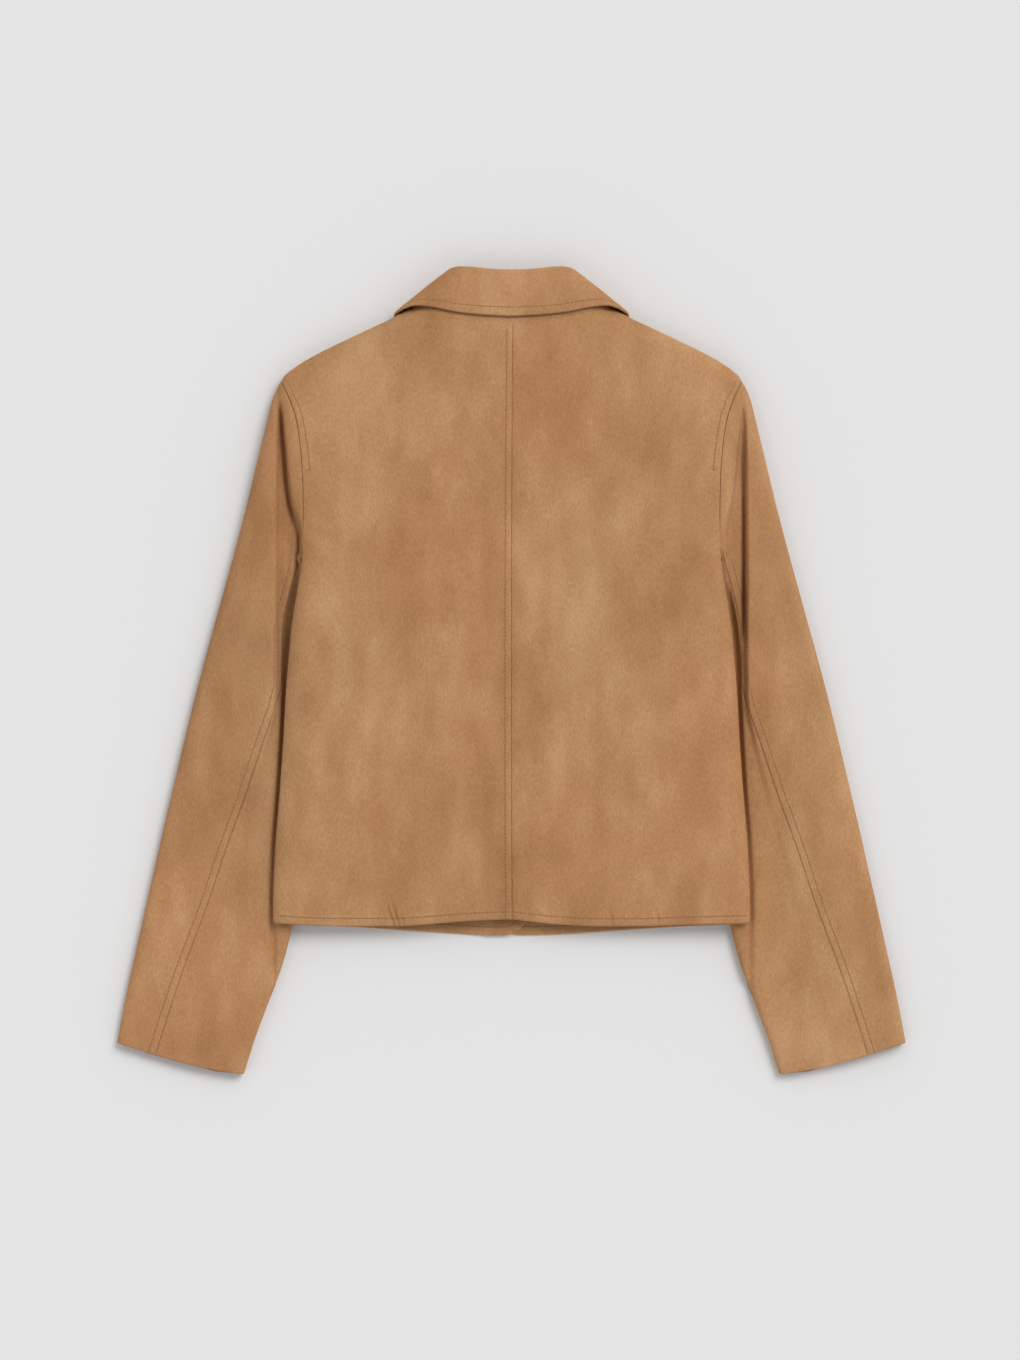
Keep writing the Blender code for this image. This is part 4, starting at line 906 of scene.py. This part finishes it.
# the colour of a ramp over a value, from its stops, which are (position, colour)
def addRamp(material, source, stops):
    ramp = addNode(material, "ShaderNodeValToRGB", links={"Fac": source})
    elements = ramp.color_ramp.elements
    for k in (0, -1):
        elements[k].position, elements[k].color = stops[k]
    for position, middle in stops[1:-1]:
        elements.new(position).color = middle
    return ramp.outputs["Color"]


# a Principled material with its base colour, its roughness and any other sockets of the shader
def newMaterial(name, base, roughness, **values):
    material = bpy.data.materials.new(name)
    material.use_nodes = True
    shader = material.node_tree.nodes["Principled BSDF"]
    for key, value in {"Base Color": colour(base), "Roughness": roughness, **values}.items():
        shader.inputs[key].default_value = value
    return material, shader


# Goat suede, dyed through and brushed: dead matt, cloudy where the nap lies this way or that, and paler at
# glancing angles because the fibres stand up.
def makeSuede():
    look = suedeLook
    material, shader = newMaterial("brushedGoatSuede", look["middle"], 0.95, **{
        "Specular IOR Level": 0.12, "Sheen Weight": 0.1, "Sheen Roughness": 0.5,
        "Sheen Tint": colour("#e0b08a")})
    links = material.node_tree.links
    place = addNode(material, "ShaderNodeTexCoord").outputs["Object"]
    down = addNode(material, "ShaderNodeMapping", {"Location": look["start"], "Scale": (1.0, 0.45, 1.0)},
                   {"Vector": place})
    tone, patch, cloud, nap = (
        addNode(material, "ShaderNodeTexNoise", {"Scale": 1000 / size, "Detail": 2.0, "Roughness": 0.5},
                {"Vector": down.outputs["Vector"]})
        for size in (1.7 * look["patch"], look["patch"], look["cloud"], look["nap"]))
    first = addNode(material, "ShaderNodeMix", {"Factor": 0.4},
                    {2: patch.outputs["Fac"], 3: cloud.outputs["Fac"]})
    second = addNode(material, "ShaderNodeMix", {"Factor": 0.3}, {2: first.outputs[0], 3: nap.outputs["Fac"]})
    shade = addRamp(material, second.outputs[0], [
        (0.36, colour(look["dark"])), (0.5, colour(look["middle"])), (0.64, colour(look["light"]))])
    tint = addRamp(material, tone.outputs["Fac"], [(0.38, colour(look["warm"])), (0.62, colour(look["cool"]))])
    tinted = addNode(material, "ShaderNodeMix", {"data_type": "RGBA", "blend_type": "MULTIPLY"},
                     {6: shade, 7: tint})
    tinted.inputs[0].default_value = 1.0
    links.new(tinted.outputs[2], shader.inputs["Base Color"])
    bump = addNode(material, "ShaderNodeBump", {"Strength": look["napDepth"], "Distance": 0.4 * mm},
                   {"Height": nap.outputs["Fac"]})
    links.new(bump.outputs["Normal"], shader.inputs["Normal"])
    return material


# Spun polyester thread, dyed to match the suede, with a soft gloss. Its ends are painted dark brown, a painted
# shade of the needle holes, so the eye sees a row of dark dots.
def makeThread():
    material, shader = newMaterial("spunPolyesterThread", "#b0845c", 0.7, **{"Sheen Weight": 0.1})
    paintedHoleShade = addNode(material, "ShaderNodeAttribute", {"attribute_name": "paintedHoleShade"}).outputs["Fac"]
    # painted shade: the thread's colour runs to dark brown at the ends of each stitch, where the needle holes
    # would shade it
    shade = addRamp(material, paintedHoleShade, [(0.3, colour("#a87a52")), (0.8, colour("#583720"))])
    material.node_tree.links.new(shade, shader.inputs["Base Color"])
    return material


suede, thread = makeSuede(), makeThread()
print("finishes made")


# thickness by the distance from an edge: thick up to the depth of its turning, then eased down to one layer
def hemThickness(distance, thick, deep):
    return suedeThick + (thick * mm - suedeThick) * (1 - ease((distance - deep * mm) / (4 * mm)))


hem, cuff = (bodyLook["hemThick"], bodyLook["hemDeep"]), (sleeveLook["cuffThick"], sleeveLook["cuffDeep"])
for side, word in ((-1, "left"), (1, "right")):
    points, out = backGrid(side)
    thick = hemThickness(points[..., 1] - backHem("y", points[..., 0]), *hem)
    addCloth(word + "Back", "back_" + word, (points, out), thick,
             ("lastRow", "firstColumn", "lastColumn"), backStitches(side))
    points, out = frontGrid(side)
    thick = hemThickness(points[..., 1] - frontHemY(side * points[..., 0], side), *hem)
    edge = hemThickness(side * points[..., 0] + frontLap, *hem)
    addCloth(word + "Front", "front_" + word, (points, out), np.maximum(thick, edge),
             ("lastRow", "lastColumn"), frontStitches(side))
    points, out = topSleeveGrid(side)
    thick = hemThickness(borderDistances(points)["lastRow"], *cuff)
    addCloth(word + "TopSleeve", "sleeve_" + word + "_top", (points, out), thick,
             ("firstRow", "firstColumn", "lastColumn"), sleeveStitches(side))
    points, out = underSleeveGrid(side)
    thick = hemThickness(borderDistances(points)["lastRow"], *cuff)
    addCloth(word + "UnderSleeve", "sleeve_" + word + "_under", (points, out), thick,
             ("firstRow", "firstColumn", "lastColumn"), None)
print("body and sleeves made")

points, out = collarGrid(1)
edgeColumn = points.shape[1] - 1 - int(np.argmin(np.abs(np.array(hemLines) - 8.3)))
outside = 1 - ease((borderDistances(points)["lastColumn"] - collarLook["edgeLine"] * mm) / (3 * mm))
thick = collarLook["leafThick"] * mm + outside * (collarLook["edgeThick"] - collarLook["leafThick"]) * mm
addCloth("collarLeaf", "collar_leaf", (points, out), thick, ("firstColumn",),
         [(points[3:-3, edgeColumn], out[3:-3, edgeColumn])])
points, out = collarGrid(-1)
addCloth("collarStand", "collar_stand", (points, out), suedeThick, ("firstColumn", "lastColumn"),
         None)
print("collar made")


studioLook = {
    "paper": "#e6e6e6",
    "skyStrength": 0.79,     # light from all round, weaker overhead, where the camera is
    "sunStrength": 1.5,      # soft main light from the upper right
    "sunSize": 32,           # degrees across, which softens the shadow
    "sunFrom": (0.55, 0.62, 1.0),
    "lens": 200,             # long, as on a copy stand far above, mm
    "viewHigh": 1.224,       # height of what the picture shows, m
}

paper = newMaterial("mattPaper", studioLook["paper"], 0.9, **{"Specular IOR Level": 0.1})[0]
corners = np.array([(-6, -6, -0.0004), (6, -6, -0.0004), (6, 6, -0.0004), (-6, 6, -0.0004)])
floor = addMesh("floor", corners, np.array([[0, 1, 2, 3]]), paper)

world = bpy.data.worlds.new("studio")
world.use_nodes = True
place = addNode(world, "ShaderNodeTexCoord").outputs["Generated"]
height = addNode(world, "ShaderNodeSeparateXYZ", links={0: place}).outputs["Z"]
sky = addRamp(world, height, [(0.8, (1.0, 1.0, 1.0, 1.0)), (0.92, (0.15, 0.15, 0.15, 1.0))])
light = world.node_tree.nodes["Background"]
world.node_tree.links.new(sky, light.inputs["Color"])
light.inputs["Strength"].default_value = studioLook["skyStrength"]
bpy.context.scene.world = world

sun = bpy.data.lights.new("sun", "SUN")
sun.energy = studioLook["sunStrength"]
sun.angle = np.radians(studioLook["sunSize"])
lamp = addObject("sun", sun)
lamp.rotation_mode = "QUATERNION"
lamp.rotation_quaternion = Vector(studioLook["sunFrom"]).to_track_quat("Z", "Y")

lens = bpy.data.cameras.new("camera")
lens.sensor_fit = "VERTICAL"
lens.sensor_height = 36
lens.lens = studioLook["lens"]
lens.clip_end = 50
camera = addObject("camera", lens)
# the view has its stated height at z = 16 mm, between the sleeves and the back
camera.location = (-1.35 * mm, -9 * mm, 16 * mm + studioLook["viewHigh"] * lens.lens / lens.sensor_height)
bpy.context.scene.camera = camera
bpy.context.scene.view_settings.view_transform = "Standard"
print("floor, light and camera set")
